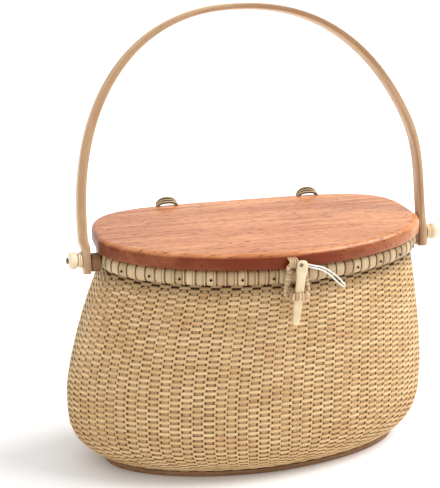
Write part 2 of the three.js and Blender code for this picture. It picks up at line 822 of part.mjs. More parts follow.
function haspEye() {
  const seat = -lidEdgeDepth(latchX + eyeOffsetX) - gap;
  const reach = -hangDepth - haspCane / 2 - gap - eyeCane / 2 + eyeHalfHeight;
  const points = [new THREE.Vector3(0, seat, eyeHalfHeight)];
  const steps = 8;
  for (let i = 0; i <= steps; i += 1) {
    const angle = (Math.PI * i) / steps;
    points.push(new THREE.Vector3(0, reach - eyeHalfHeight * Math.sin(angle), eyeHalfHeight * Math.cos(angle)));
  }
  points.push(new THREE.Vector3(0, seat, -eyeHalfHeight));
  const tube = sweep(points, roundSection(eyeCane, 6), { up: new THREE.Vector3(1, 0, 0) });
  return tube.translate(latchX + eyeOffsetX, 0, hangHeight);
}

function lidEdgeDepth(x) {
  return lidHalfDepth * (1 - Math.abs(x / lidHalfLength) ** frontCurveShare) ** (1 / frontCurveShare);
}

function wallFrontDepth(x, height) {
  const oval = bodyOval(height);
  const across = Math.abs((x - oval.shiftX) / oval.halfLength);
  return oval.frontDepth * (1 - across ** oval.frontCurve) ** (1 / oval.frontCurve) - oval.shiftY;
}

const pegFrontDepth = pegBackDepth + pegThickness;
const stapleFrontDepth = pegFrontDepth + gap + stapleDepth / 2;

function staple() {
  const wallFace = wallFrontDepth(latchX, stapleHeight) + 2 * gap;
  const throat = hangDepth + haspCane / 2 + gap;
  const half = [
    [stapleNeck, wallFace],
    [stapleNeck, throat],
    ...stapleBendShares.map(([across, out]) => [stapleHalfWidth * across, mix(throat, stapleFrontDepth, out)]),
  ];
  const points = [
    ...half.map(([x, depth]) => new THREE.Vector3(latchX - x, -depth, stapleHeight)),
    ...half.reverse().map(([x, depth]) => new THREE.Vector3(latchX + x, -depth, stapleHeight)),
  ];
  return sweep(points, roundSection(stapleDepth, 8, stapleTall));
}

// Peg drawn upright about its own middle, then leaned
function bonePeg() {
  const corner = pegThickness / 4;
  const rows = pegStationShares.map(([share, widthShare, thickShare]) => {
    const a = (pegWidth * widthShare) / 2;
    const b = (pegThickness / 2) * thickShare;
    const c = corner * thickShare;
    return [
      [-a, -b + c],
      [-a + c, -b],
      [a - c, -b],
      [a, -b + c],
      [a, b - c],
      [a - c, b],
      [-a + c, b],
      [-a, b - c],
    ].map(([x, y]) => new THREE.Vector3(x, y, -share * pegLength));
  });
  const radius = eyeletDiameter / 2;
  const eyelet = new THREE.CylinderGeometry(radius, radius, pegThickness + 2 * cutOverrun, 10);
  eyelet.translate(eyeletOffsetX, 0, -eyeletBelowTop);
  const peg = cut(gridGeometry(rows, false), [eyelet]);
  peg.translate(0, 0, pegTopHeight - stapleHeight);
  peg.rotateY(THREE.MathUtils.degToRad(pegLean));
  return peg.translate(latchX, -(pegBackDepth + pegThickness / 2), stapleHeight);
}

// White string: both ends in the peg's eyelet, laid over the lashing to the right
const stringRoute = [
  [4.6, -83.7, 182.2],
  [4.6, -82.2, 182.2],
  [5.2, -80.8, 182.1],
  [7.4, -80.5, 181.4],
  [10.6, -80.4, 180.2],
  [14.3, -80.4, 178.9],
  [19, -78.8, 177.2],
  [24.2, -75.4, 174.9],
  [29, -73.8, 171.9],
  [33.8, -72.5, 168.4],
  [40.2, -71, 162.4],
  [44, -69.9, 157.6],
  [44.6, -69.6, 156.2],
  [43.4, -69.9, 156],
  [39, -71, 159.6],
  [33.6, -72.6, 165],
  [28.8, -74, 169.4],
  [23.8, -75.6, 172.8],
  [18.8, -78.8, 175.4],
  [14.2, -80.4, 177.2],
  [10.4, -80.4, 178.5],
  [7.2, -80.5, 179.6],
  [5.2, -80.8, 180.5],
  [4.6, -82.2, 180.7],
  [4.6, -83.7, 180.7],
];

function pegString() {
  const curve = new THREE.CatmullRomCurve3(stringRoute.map((p) => new THREE.Vector3(...p)));
  const steps = 34;
  console.log(`string length ${curve.getLength().toFixed(1)} mm`);
  return sweep(curve.getSpacedPoints(steps), roundSection(stringDiameter, 8));
}

// Root body
addPiece('base_plate', basePlate(), materials.base);
addPiece('woven_wall', wovenWall(), materials.weave);
addPiece('staves', staves(), materials.stave);
addPiece('inner_hoop', ringBand(rimOval, innerHoopFace, innerHoopOuter, hoopBottom, hoopTop), materials.ash);
addPiece('outer_hoop', ringBand(rimOval, outerHoopInner, outerHoopFace, hoopBottom, hoopTop), materials.ash);
addPiece('rim_filler', rimFiller(), materials.stave);

// Cane lengths between the two hinge ties, the long way round in three and the back in one
const backTurns = 2 * hingeStaveCount - tieTurnCount;
const sideTurns = (staveCount - backTurns - 2 * tieTurnCount) / 3;
const leftStart = backSlot + hingeStaveCount + (tieTurnCount + 1) / 2;
const backStart = backSlot - hingeStaveCount + (tieTurnCount + 1) / 2;
const lashings = {
  rim_lashing_left: winding(strapCorners, leftStart, sideTurns),
  rim_lashing_front: winding(strapCorners, leftStart + sideTurns, sideTurns),
  rim_lashing_right: winding(strapCorners, leftStart + 2 * sideTurns, sideTurns),
  rim_lashing_back: winding(strapCorners, backStart, backTurns),
};
for (const [name, { geometry, rows }] of Object.entries(lashings)) {
  addPiece(name, geometry, materials.cane);
  console.log(`${name} least gap between turns ${leastTurnGap(rows, strapCorners.length).toFixed(2)} mm`);
}

// Nails on every third turn, clear of the ears and the hinge ties
let nailNumber = 0;
for (let slot = nailStaveCount / 2; slot < staveCount; slot += nailStaveCount) {
  const side = rimOval.at(slot / staveCount).point;
  const nearTie = hingeSlots.some((hinge) => Math.abs(slot - hinge) < nailStaveCount / 2);
  if (Math.abs(side.y) > earWidth && !nearTie) {
    nailNumber += 1;
    addPiece(`rim_nail_${nailNumber}`, rimNail(slot), materials.nail);
  }
}

const lidGroup = new THREE.Group();
basket.add(lidGroup);
addPiece('lid', lidBoard(), materials.cherry, lidGroup);
hingeSides.forEach((side, i) => {
  const hand = i === 0 ? 'left' : 'right';
  const loop = sweep(loopPath(side.x), roundSection(hingeCane, 6), { up: new THREE.Vector3(0, 1, 0) });
  addPiece(`hinge_loop_${hand}`, loop, materials.cane, lidGroup);
  const tie = hingeTie(side);
  addPiece(`hinge_tie_${hand}`, tie.geometry, materials.cane);
  console.log(`hinge_tie_${hand} least gap between turns ${leastTurnGap(tie.rows, tie.perTurn).toFixed(2)} mm`);
});
addPiece('hasp_eye', haspEye(), materials.cane, lidGroup);
addPiece('hasp_loop', haspLoop(), materials.cane, lidGroup);

for (const [hand, turn] of [['left', Math.PI], ['right', 0]]) {
  const side = new THREE.Group();
  side.rotation.z = turn;
  basket.add(side);
  const shift = pivotShiftX * Math.cos(turn);
  addPiece(`pivot_ear_${hand}`, pivotEar(shift), materials.base, side);
  addPiece(`pivot_washer_${hand}`, pivotWasher(shift), materials.bone, side);
  addPiece(`pivot_knob_${hand}`, pivotKnob(shift), materials.bone, side);
  addPiece(`pivot_pin_${hand}`, pivotPin(shift), materials.metal, side);
}
addPiece('handle', handleBow(), materials.ash);
addPiece('latch_staple', staple(), materials.cane);
addPiece('latch_peg', bonePeg(), materials.bone);
addPiece('peg_string', pegString(), materials.string);

export default basket;
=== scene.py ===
import math

import bmesh
import bpy
import numpy as np
from mathutils import Matrix, Vector


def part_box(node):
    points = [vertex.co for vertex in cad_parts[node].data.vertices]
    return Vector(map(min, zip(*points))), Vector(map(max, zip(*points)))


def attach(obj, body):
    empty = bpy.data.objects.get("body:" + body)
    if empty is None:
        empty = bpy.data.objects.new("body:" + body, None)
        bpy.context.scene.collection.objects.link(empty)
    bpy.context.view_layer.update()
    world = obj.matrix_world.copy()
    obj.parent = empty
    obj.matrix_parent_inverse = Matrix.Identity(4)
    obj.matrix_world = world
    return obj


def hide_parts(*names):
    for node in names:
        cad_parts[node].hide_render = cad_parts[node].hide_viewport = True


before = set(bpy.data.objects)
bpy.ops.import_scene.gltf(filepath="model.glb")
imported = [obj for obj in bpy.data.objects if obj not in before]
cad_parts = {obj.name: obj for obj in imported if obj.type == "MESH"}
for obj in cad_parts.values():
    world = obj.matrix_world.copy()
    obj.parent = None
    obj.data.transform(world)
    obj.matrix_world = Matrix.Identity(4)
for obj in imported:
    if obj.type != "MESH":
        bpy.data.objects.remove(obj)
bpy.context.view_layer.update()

scene = bpy.context.scene
chance = np.random.default_rng(11)
print("frame loaded")

# Camera at the photograph's angle, with its long side upright
camera = {
    "place": (-0.27387, -0.91459, 0.48464),
    "back": (-0.24137, -0.91874, 0.31250),
    "lens": 94.43,
    "sensor": 36,
}
cameraData = bpy.data.cameras.new("camera")
cameraData.lens = camera["lens"]
cameraData.sensor_width = camera["sensor"]
cameraData.clip_end = 20
cameraObject = bpy.data.objects.new("camera", cameraData)
cameraObject.rotation_mode = "QUATERNION"
cameraObject.location = camera["place"]
cameraObject.rotation_quaternion = (-Vector(camera["back"])).to_track_quat("-Z", "Y")
scene.collection.objects.link(cameraObject)
scene.camera = cameraObject
scene.view_settings.view_transform = "Standard"


def tone(red, green, blue):
    # a colour given as it looks on screen, in the shader's own numbers
    shares = [value / 255 for value in (red, green, blue)]
    return (*[s / 12.92 if s < 0.04045 else ((s + 0.055) / 1.055) ** 2.4 for s in shares], 1)


# Shader maths: a wire is a socket that can be used in sums
class Wire:
    def __init__(self, paint, socket):
        self.paint = paint
        self.socket = socket

    def work(self, operation, first, second):
        return self.paint.node("ShaderNodeMath", {"operation": operation}, {0: first, 1: second})

    def __add__(self, other):
        return self.work("ADD", self, other)

    def __rsub__(self, other):
        return self.work("SUBTRACT", other, self)

    def __mul__(self, other):
        return self.work("MULTIPLY", self, other)


class Paint:
    def __init__(self, name, **constants):
        self.material = bpy.data.materials.new(name)
        self.material.use_nodes = True
        self.tree = self.material.node_tree
        self.shader = self.tree.nodes["Principled BSDF"]
        for socket, value in constants.items():
            self.shader.inputs[socket.replace("_", " ")].default_value = value

    def node(self, kind, settings=None, inputs=None, output=0):
        made = self.tree.nodes.new(kind)
        for key, value in (settings or {}).items():
            setattr(made, key, value)
        for key, value in (inputs or {}).items():
            if isinstance(value, Wire):
                self.tree.links.new(value.socket, made.inputs[key])
            else:
                made.inputs[key].default_value = value
        return Wire(self, made.outputs[output])

    def spot(self, scale=(1, 1, 1), source="Object"):
        place = self.node("ShaderNodeTexCoord", output=source)
        return self.node("ShaderNodeMapping", inputs={"Vector": place, "Scale": scale})

    def noise(self, where, scale, detail=3, roughness=0.55, distortion=0.0):
        look = {"Detail": detail, "Roughness": roughness, "Distortion": distortion}
        return self.node("ShaderNodeTexNoise", inputs={"Vector": where, "Scale": scale, **look})

    def between(self, value, low, high, first=0.0, last=1.0):
        inputs = {0: value, 1: low, 2: high, 3: first, 4: last}
        return self.node("ShaderNodeMapRange", {"interpolation_type": "SMOOTHSTEP"}, inputs)

    def mix(self, share, first, second):
        return self.node("ShaderNodeMix", {"data_type": "RGBA"}, {0: share, 6: first, 7: second}, 2)

    def mark(self, name):
        return self.node("ShaderNodeAttribute", {"attribute_name": name}, output="Fac")

    def feed(self, **sockets):
        for socket, wire in sockets.items():
            self.tree.links.new(wire.socket, self.shader.inputs[socket.replace("_", " ")])

    def bump(self, height, distance, strength=1.0):
        inputs = {"Strength": strength, "Distance": distance, "Height": height}
        self.feed(Normal=self.node("ShaderNodeBump", inputs=inputs))


def caneFinish(name, tones, look):
    # cane: pale, honey and reddish strands, fine fibres along each one, and painted shade mixed in where the
    # mesh marks it
    pale, honey, red, dark = (tone(*colour) for colour in tones)
    paint = Paint(name, Coat_Roughness=0.3, Coat_Weight=look["coat"], Specular_IOR_Level=look["shine"])
    tint = paint.mark("tint")
    apart = paint.node("ShaderNodeCombineXYZ", inputs={"Z": tint * 37.0})
    along = paint.spot(look["fibreScale"], "UV")
    own = paint.node("ShaderNodeVectorMath", {"operation": "ADD"}, {0: along, 1: apart})
    patches = paint.noise(paint.spot((1, 1, 1.6)), 34, 3)
    stains = paint.noise(paint.spot((1.3, 1, 1)), 19, 2)
    fibres = paint.noise(own, 1, 3, 0.7)
    fine = paint.noise(paint.spot(), 1100, 2)
    share = paint.between(patches * look["patches"] + tint * look["tint"] + fibres * 0.3, 0.3, 0.85)
    colour = paint.mix(share, pale, honey)
    redShare = paint.between(tint * look["tint"] + stains, look["redFrom"], look["redFrom"] + 0.25, 0, 0.6)
    colour = paint.mix(redShare, colour, red)
    colour = paint.mix(paint.between(fibres + fine * 0.3, 0.66, 0.9, 0, look["fibres"]), colour, dark)
    # painted shade: where the mesh is marked, the colour goes towards the dark tone
    colour = paint.mix(paint.mark("hollow") * look["hollow"], colour, dark)
    rough = paint.between(fine + fibres, 0.6, 1.4, look["gloss"] - 0.08, look["gloss"] + 0.12)
    paint.feed(Base_Color=colour, Roughness=rough)
    paint.bump(fibres + fine * 0.4, 0.00012)
    return paint.material


def woodFinish(name, tones, gloss, along, source="Object", coat=0.3, pores=0.5, poreScale=6, shine=0.5,
               deepShares=None, endShade=None):
    # wood: broad bands, fine grain and short dark pores, all drawn out in the direction with the lowest scale
    pale, warm, dark, *deep = (tone(*colour) for colour in tones)
    paint = Paint(name, Coat_Weight=coat, Coat_Roughness=0.12, Specular_IOR_Level=shine)

    def drawn(first, others):
        return paint.spot((along[0] * first, along[1] * others, along[2] * others), source)

    bands = paint.noise(drawn(0.5, 0.16), 1, 3, 0.6, 0.4)
    grain = paint.noise(drawn(1, 1), 1, 4, 0.65, 0.3)
    pits = paint.noise(drawn(poreScale, 5), 1, 2, 0.5)
    share = paint.between(bands * 0.55 + grain * 0.45, 0.32, 0.68)
    colour = paint.mix(share, pale, warm)
    poreShare = paint.between(pits, 0.56, 0.72, 0, pores)
    colour = paint.mix(poreShare, colour, dark)
    colour = paint.mix(paint.between(grain, 0.55, 0.8, 0, 0.35), colour, dark)
    if deep:
        # a darker tone on the faces marked for it, uneven along the grain: partly the wood's own darker tone,
        # partly painted shade
        share = paint.mark("hollow") * paint.between(bands, 0.35, 0.6, *deepShares)
        colour = paint.mix(share, colour, deep[0])
        paint.feed(Coat_Weight=(1.0 - paint.mark("hollow")) * coat)
    if endShade:
        # painted shade: the wood is darker towards its left end, where less light falls
        nearEnd, farFromEnd, depth = endShade
        where = paint.node("ShaderNodeSeparateXYZ", inputs={"Vector": paint.spot(source=source)})
        colour = paint.mix(paint.between(where, nearEnd, farFromEnd, depth, 0), colour, dark)
    paint.feed(Base_Color=colour, Roughness=paint.between(grain, 0.3, 0.7, gloss, gloss + 0.12))
    paint.bump(poreShare * -1.0 + grain * 0.25, 0.00015, 0.6)
    return paint.material


weaveCane = caneFinish("weaveCane", [(224, 192, 146), (198, 160, 110), (206, 154, 116), (54, 26, 4)], {
    "gloss": 0.5, "coat": 0.0, "shine": 0.12, "fibreScale": (15, 170, 1), "patches": 0.6, "tint": 0.3,
    "redFrom": 0.74, "fibres": 0.6, "hollow": 0.97,
})
bindingCane = caneFinish("bindingCane", [(198, 171, 130), (168, 136, 96), (164, 124, 84), (60, 36, 18)], {
    "gloss": 0.34, "coat": 0.15, "shine": 0.5, "fibreScale": (40, 40, 1), "patches": 0.4, "tint": 0.5,
    "redFrom": 0.86, "fibres": 0.6, "hollow": 0.95,
})
wrapCane = caneFinish("wrapCane", [(216, 190, 150), (178, 140, 98), (160, 116, 76), (60, 38, 22)], {
    "gloss": 0.42, "coat": 0.08, "shine": 0.5, "fibreScale": (30, 120, 1), "patches": 0.4, "tint": 0.5,
    "redFrom": 0.86, "fibres": 0.4, "hollow": 0.97,
})
staveWood = woodFinish("staveWood", [(188, 154, 104), (162, 126, 78), (96, 64, 32)], 0.55, (120, 120, 8))
hoopWood = woodFinish("hoopWood", [(208, 180, 134), (186, 152, 104), (110, 76, 44)], 0.5, (12, 60, 160))
lidWood = woodFinish(
    "lidWood", [(214, 146, 96), (172, 102, 58), (80, 30, 10), (108, 40, 13)], 0.28, (11, 200, 150),
    coat=0.35, pores=1.0, poreScale=14, shine=0.15, deepShares=(0.68, 0.97), endShade=(-0.13, 0.01, 0.2),
)
bowWood = woodFinish(
    "bowWood", [(202, 170, 134), (176, 140, 102), (104, 68, 42), (134, 92, 56)], 0.4, (14, 24, 1),
    source="UV", coat=0.2, pores=0.4, deepShares=(0.15, 0.8),
)
baseWood = woodFinish("baseWood", [(146, 104, 62), (118, 78, 42), (66, 38, 18)], 0.4, (8, 120, 160))
earWood = woodFinish(
    "earWood", [(136, 92, 54), (104, 66, 34), (50, 28, 12)], 0.45, (120, 120, 14), shine=0.25,
)


def boneFinish():
    # bone: cream, with faint yellow clouds and fine lines along the piece
    paint = Paint("bone", Coat_Weight=0.3, Coat_Roughness=0.15)
    clouds = paint.noise(paint.spot(), 60, 3)
    lines = paint.noise(paint.spot((300, 300, 30)), 1, 3, 0.6)
    colour = paint.mix(paint.between(clouds, 0.3, 0.7), tone(228, 209, 177), tone(208, 185, 144))
    colour = paint.mix(paint.between(lines, 0.55, 0.85, 0, 0.4), colour, tone(176, 146, 100))
    paint.feed(Base_Color=colour, Roughness=paint.between(lines, 0.2, 0.8, 0.28, 0.4))
    paint.bump(lines, 0.00008)
    return paint.material


def metalFinish(name, bright, dull, gloss):
    paint = Paint(name, Metallic=1.0)
    specks = paint.noise(paint.spot(), 1400, 3)
    colour = paint.mix(paint.between(specks, 0.35, 0.65), bright, dull)
    paint.feed(Base_Color=colour, Roughness=paint.between(specks, 0.3, 0.7, gloss, gloss + 0.25))
    paint.bump(specks, 0.0001)
    return paint.material


def stringFinish():
    # two plies twisted together: slanted ridges round the string
    paint = Paint("whiteString", Roughness=0.8)
    inputs = {"Vector": paint.spot((90, 2, 1), "UV"), "Scale": 1.0}
    plies = paint.node("ShaderNodeTexWave", {"bands_direction": "DIAGONAL"}, inputs)
    paint.feed(Base_Color=paint.mix(plies, tone(236, 232, 226), tone(255, 254, 250)))
    paint.bump(plies, 0.0001)
    return paint.material


bone = boneFinish()
pinMetal = metalFinish("pinMetal", tone(150, 144, 132), tone(60, 54, 46), 0.3)
nailMetal = metalFinish("nailMetal", tone(70, 52, 36), tone(34, 24, 16), 0.5)
whiteString = stringFinish()
print("finishes made")


# Mesh making
sharpAngle = 38


def startMesh():
    bm = bmesh.new()
    bm.loops.layers.uv.verify()
    for name in ("hollow", "tint"):
        bm.verts.layers.float.new(name)
    return bm


def laySheet(bm, places, closedAlong=False, **marks):
    # a tube laid on rings of places; edges that meet are welded when the piece is finished
    if closedAlong:
        places = np.concatenate([places, places[:1]])
        marks = {name: np.concatenate([v, v[:1]]) for name, v in marks.items()}
    places = np.concatenate([places, places[:, :1]], axis=1)
    marks = {name: np.concatenate([v, v[:, :1]], axis=1) for name, v in marks.items()}
    rows, across = places.shape[:2]
    grid = bmesh.ops.create_grid(bm, x_segments=across - 1, y_segments=rows - 1, size=1, calc_uvs=True)
    for vert, place in zip(grid["verts"], places.reshape(-1, 3).tolist()):
        vert.co = place
    for name, values in marks.items():
        layer = bm.verts.layers.float[name]
        for vert, value in zip(grid["verts"], values.reshape(-1).tolist()):
            vert[layer] = value


def finishPiece(name, bm, material, body, replaces, sharp=sharpAngle, capped=False):
    bmesh.ops.remove_doubles(bm, verts=bm.verts, dist=2e-6)
    if capped:
        bmesh.ops.holes_fill(bm, edges=bm.edges, sides=0)
    bmesh.ops.recalc_face_normals(bm, faces=bm.faces)
    mesh = bpy.data.meshes.new(name)
    bm.to_mesh(mesh)
    bm.free()
    mesh.materials.append(material)
    mesh.shade_smooth()
    mesh.set_sharp_from_angle(angle=math.radians(sharp))
    piece = bpy.data.objects.new(name, mesh)
    scene.collection.objects.link(piece)
    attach(piece, body)
    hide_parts(*replaces)
    return piece


def tube(name, places, material, body, slot, node, closed=False, sharp=sharpAngle, **marks):
    # a piece made of one sheet: a closed ring, or a length with both ends filled
    bm = startMesh()
    laySheet(bm, places, closed, **marks)
    return finishPiece(name, bm, material, body, [node], sharp=sharp, capped=not closed)


def unit(vectors):
    return vectors / np.linalg.norm(vectors, axis=-1, keepdims=True)


def signedPower(values, power):
    return np.sign(values) * np.abs(values) ** power


def eased(value, start, stop):
    share = np.clip((value - start) / (stop - start), 0, 1)
    return share**2 * (3 - 2 * share)


def throughPoints(points, steps):
    # smooth line through points, with that many stretches between two of them
    points = np.array(points, float)
    ends = np.concatenate([[2 * points[0] - points[1]], points, [2 * points[-1] - points[-2]]])
    line = []
    for i in range(len(points) - 1):
        a, b, c, d = ends[i : i + 4]
        for t in np.arange(steps) / steps:
            bend = (2 * a - 5 * b + 4 * c - d) * t**2 + (3 * b - a - 3 * c + d) * t**3
            line.append(0.5 * (2 * b + (c - a) * t + bend))
    return np.array([*line, points[-1]])


def evenly(line, count):
    # the same line with its points the same distance apart; columns past the third go along with it
    steps = np.concatenate([[0], np.cumsum(np.linalg.norm(np.diff(line[:, :3], axis=0), axis=1))])
    wanted = np.linspace(0, steps[-1], count)
    return np.stack([np.interp(wanted, steps, column) for column in line.T], axis=1), steps[-1]


def tubePlaces(line, section, up, closed=False):
    # section: rows of (across, through) shared by all the line's points, or one set for each point
    ahead = np.roll(line, -1, axis=0) - np.roll(line, 1, axis=0)
    if not closed:
        ahead[0], ahead[-1] = line[1] - line[0], line[-1] - line[-2]
    ahead = unit(ahead)
    across = unit(np.cross(ahead, np.array(up, float)))
    through = np.cross(across, ahead)
    section = np.array(section, float)
    if section.ndim == 2:
        section = np.repeat(section[None], len(line), axis=0)
    return line[:, None] + across[:, None] * section[..., :1] + through[:, None] * section[..., 1:]


def roundSection(wide, deep, sides):
    angles = 2 * math.pi * (np.arange(sides) + 0.5) / sides
    return np.stack([np.cos(angles) * wide / 2, np.sin(angles) * deep / 2], axis=1)


# Ovals of the basket: the front half and the back half have their own depth and curve
basket = {
    "foot": (0.1215, 0.0553, 0.0553, 1.9, 1.9, -0.007, 0),
    "bulge": (0.1476, 0.0785, 0.0785, 1.9, 1.9, -0.0093, 0.004),
    "rim": (0.1236, 0.068, 0.0625, 1.84, 4, 0, 0),
    "lid": (0.13, 0.0744, 0.0744, 1.84, 4, 0, 0),
    "bulgeHeight": 0.0617,
    "lowerCurve": 4.1,
    "upperCurve": 1.41,
    "wallLow": 0.0047,
    "wallHigh": 0.162,
    "staves": 84,
}


def ovalAt(shape, turns):
    # places and outward directions at shares of the way round, from the front middle towards +X
    halfLength, frontDepth, backDepth, frontCurve, backCurve, shiftX, shiftY = shape
    angle = np.linspace(0, 2 * math.pi, 2401)
    sine, cosine = np.sin(angle), np.cos(angle)
    front = cosine > 0
    curve = np.where(front, frontCurve, backCurve)
    depth = np.where(front, frontDepth, backDepth)
    x = halfLength * signedPower(sine, 2 / curve) + shiftX
    y = -depth * signedPower(cosine, 2 / curve) + shiftY
    length = np.concatenate([[0], np.cumsum(np.hypot(np.diff(x), np.diff(y)))])
    wanted = np.mod(turns, 1) * length[-1]
    reach = length[-1] / 800
    ahead, behind = np.mod(wanted + reach, length[-1]), np.mod(wanted - reach, length[-1])
    along = unit(
        np.stack([np.interp(ahead, length, v) - np.interp(behind, length, v) for v in (x, y)], axis=-1)
    )
    point = np.stack([np.interp(wanted, length, v) for v in (x, y)], axis=-1)
    return point, np.stack([along[..., 1], -along[..., 0]], axis=-1)


def bodyShape(height):
    bulge, low, high = basket["bulgeHeight"], basket["wallLow"], basket["wallHigh"]
    if height < bulge:
        share, end = min((bulge - height) / (bulge - low), 1.2) ** basket["lowerCurve"], basket["foot"]
    else:
        share, end = min((height - bulge) / (high - bulge), 1) ** basket["upperCurve"], basket["rim"]
    return tuple(a + (b - a) * share for a, b in zip(basket["bulge"], end))


def ringPlaces(shape, turns, outward, height):
    point, out = ovalAt(shape, turns)
    outward, height = np.broadcast_to(outward, turns.shape), np.broadcast_to(height, turns.shape)
    return np.concatenate([point + out * outward[..., None], height[..., None]], axis=-1)


def wallPlaces(height, turns):
    return ringPlaces(bodyShape(height), turns, 0, height)


# String from the peg: its own length, laid over the rim to the right
string = {
    "diameter": 0.0012,
    "route": [
        (0.0046, -0.0837, 0.1822), (0.0046, -0.0822, 0.1822), (0.0052, -0.0808, 0.1821),
        (0.0074, -0.0805, 0.1814), (0.0106, -0.0804, 0.1802), (0.0143, -0.0804, 0.1789),
        (0.019, -0.0788, 0.1772), (0.0242, -0.0754, 0.1749), (0.029, -0.0738, 0.1719),
        (0.0338, -0.0725, 0.1684), (0.0402, -0.071, 0.1624), (0.044, -0.0699, 0.1576),
        (0.0446, -0.0696, 0.1562), (0.0434, -0.0699, 0.156), (0.039, -0.071, 0.1596),
        (0.0336, -0.0726, 0.165), (0.0288, -0.074, 0.1694), (0.0238, -0.0756, 0.1728),
        (0.0188, -0.0788, 0.1754), (0.0142, -0.0804, 0.1772), (0.0104, -0.0804, 0.1785),
        (0.0072, -0.0805, 0.1796), (0.0052, -0.0808, 0.1805), (0.0046, -0.0822, 0.1807),
        (0.0046, -0.0837, 0.1807),
    ],
}
stringLine, stringLength = evenly(throughPoints(string["route"], 6), 120)
places = tubePlaces(stringLine, roundSection(string["diameter"], string["diameter"], 10), (0, 0, 1))
pegString = tube("peg_string_twist", places, whiteString, "peg", "string", "peg_string")
print(f"string {stringLength * 1000:.1f} mm")

# Woven wall: rings of cane, each over one stave and under the next
weave = {
    "rowPitch": (0.00252, 0.0022),  # at the foot and at the rim
    "high": 0.1648,
    "middle": 0.0013,  # depth of the staves' middle, in from the wall's face
    "swing": 0.00078,
    "tall": 0.0027,
    "thin": 0.00092,
    "bands": 3,
    "unevenHeight": 0.00012,
    "unevenSwing": 0.12,
    "unevenStave": 0.05,  # how far a stave strays, in shares of the space between two
    "sway": 0.00035,
    "swayTurns": 3,
    "swayDrift": 0.013,
    "swayStep": 0.21,
    "probe": 0.0008,  # how far above and below a row the wall is looked at for its slope
    "rimShade": (0.148, 0.014, 0.62),  # height it starts at, over what height, how dark
}
# along one strand from the middle of a float (0) to the next stave (1): lift, height and depth of shade
floatShares = np.array([
    (0, 1, 1, 0), (0.26, 0.98, 1, 0), (0.44, 0.88, 0.98, 0), (0.54, 0.6, 0.93, 0.04), (0.6, 0, 0.88, 0.75),
    (0.66, -0.8, 0.88, 1), (1, -1, 0.9, 1),
])
weaveSection = np.array([(1, 0.5), (1, -0.5), (0.05, -1), (-1, -0.6), (-1, 0.6), (0.05, 1)])
# painted shade on each point of a strand's section: none on its outer face, most on its inner side, some on
# its lower and upper edges
shadeShares = np.array([0, 0, 0.5, 1, 1, 0.3])


def weaveLevels():
    # heights of the rows, spaced along the wall's slope
    fine = np.linspace(basket["wallLow"], weave["high"], 160)
    turns = np.arange(24) / 24
    faces = np.array([wallPlaces(z, turns) for z in fine])
    slope = np.linalg.norm(np.diff(faces, axis=0), axis=-1).mean(axis=1)
    length = np.concatenate([[0], np.cumsum(slope)])
    foot, top = weave["rowPitch"]
    rows = np.concatenate([[0], np.cumsum(slope / (foot + (top - foot) * length[1:] / length[-1]))])
    count = round(rows[-1])
    return np.interp((np.arange(count) + 0.5) / count * rows[-1], rows, fine)


levels = weaveLevels()
staveCount = basket["staves"]
stray = weave["unevenStave"] * chance.normal(size=(4, staveCount))


def staveTurns(staves, height):
    # where a stave stands, from the front middle towards +X; it strays a little on its way up
    up = min(max(height / basket["wallHigh"], 0), 1)
    first = min(int(up * 3), 2)
    drift = stray[first] + (stray[first + 1] - stray[first]) * (up * 3 - first)
    drift = np.concatenate([drift, drift[:1]]) * math.sin(math.pi * up) ** 0.3
    around = np.mod(staves, staveCount)
    return (staves + np.interp(around, np.arange(staveCount + 1), drift)) / staveCount


along = np.concatenate([floatShares[:, 0], (2 - floatShares[1:-1, 0])[::-1]])
reach = np.minimum(along, 2 - along)
liftAt, tallAt, shadeAt = (np.interp(reach, floatShares[:, 0], floatShares[:, k]) for k in (1, 2, 3))
floatCount = staveCount // 2
strands = []
for row, level in enumerate(levels):
    staves = (2 * np.arange(floatCount)[:, None] + row % 2 + along[None]).reshape(-1)
    turns = staveTurns(staves, level)
    floats = (np.arange(floatCount)[:, None] + (along > 1)[None]).reshape(-1) % floatCount
    face = wallPlaces(level, turns)
    rise = unit(wallPlaces(level + weave["probe"], turns) - wallPlaces(level - weave["probe"], turns))
    run = unit(np.roll(face, -1, axis=0) - np.roll(face, 1, axis=0))
    out = unit(np.cross(run, rise))
    lift = np.tile(liftAt, floatCount)
    swing = weave["swing"] * (1 - weave["unevenSwing"] * np.abs(chance.normal(size=floatCount))[floats])
    drift = weave["unevenHeight"] * chance.normal(size=floatCount)[floats] * np.clip(lift, 0, 1)
    sway = np.sin(2 * math.pi * (turns * weave["swayTurns"] + row * weave["swayDrift"]))
    sway = weave["sway"] * sway * np.sin(row * weave["swayStep"])
    tall = weave["tall"] / 2 * np.tile(tallAt, floatCount)
    middle = face + out * (swing * lift - weave["middle"])[:, None] + rise * (drift + sway)[:, None]
    places = (
        middle[:, None]
        + out[:, None] * (weaveSection[None, :, :1] * weave["thin"] / 2)
        + rise[:, None] * (weaveSection[None, :, 1:] * tall[:, None, None])
    )
    # painted shade: dark where the strand dives behind a stave, along its inner side and edges, and over the
    # top rows under the rim
    shade = np.tile(shadeAt, floatCount)[:, None]
    start, over, depth = weave["rimShade"]
    underRim = depth * np.clip((level - start) / over, 0, 1)
    hollow = np.clip(shade + shadeShares[None] * 0.5 + 0.4 * shade * (1 - shade) + underRim, 0, 1)
    tint = 0.4 * chance.random() + 0.6 * chance.random(floatCount)[floats]
    strands.append((places, hollow, tint[:, None] * np.ones(len(weaveSection))))

perBand = math.ceil(len(strands) / weave["bands"])
for band, name in enumerate(("weave_lower", "weave_middle", "weave_upper")):
    bm = startMesh()
    for places, hollow, tint in strands[band * perBand : (band + 1) * perBand]:
        laySheet(bm, places, closedAlong=True, hollow=hollow, tint=tint)
    finishPiece(name, bm, weaveCane, "basket", ["woven_wall"], sharp=80)
print(f"weave: {len(levels)} rows over {staveCount} staves")

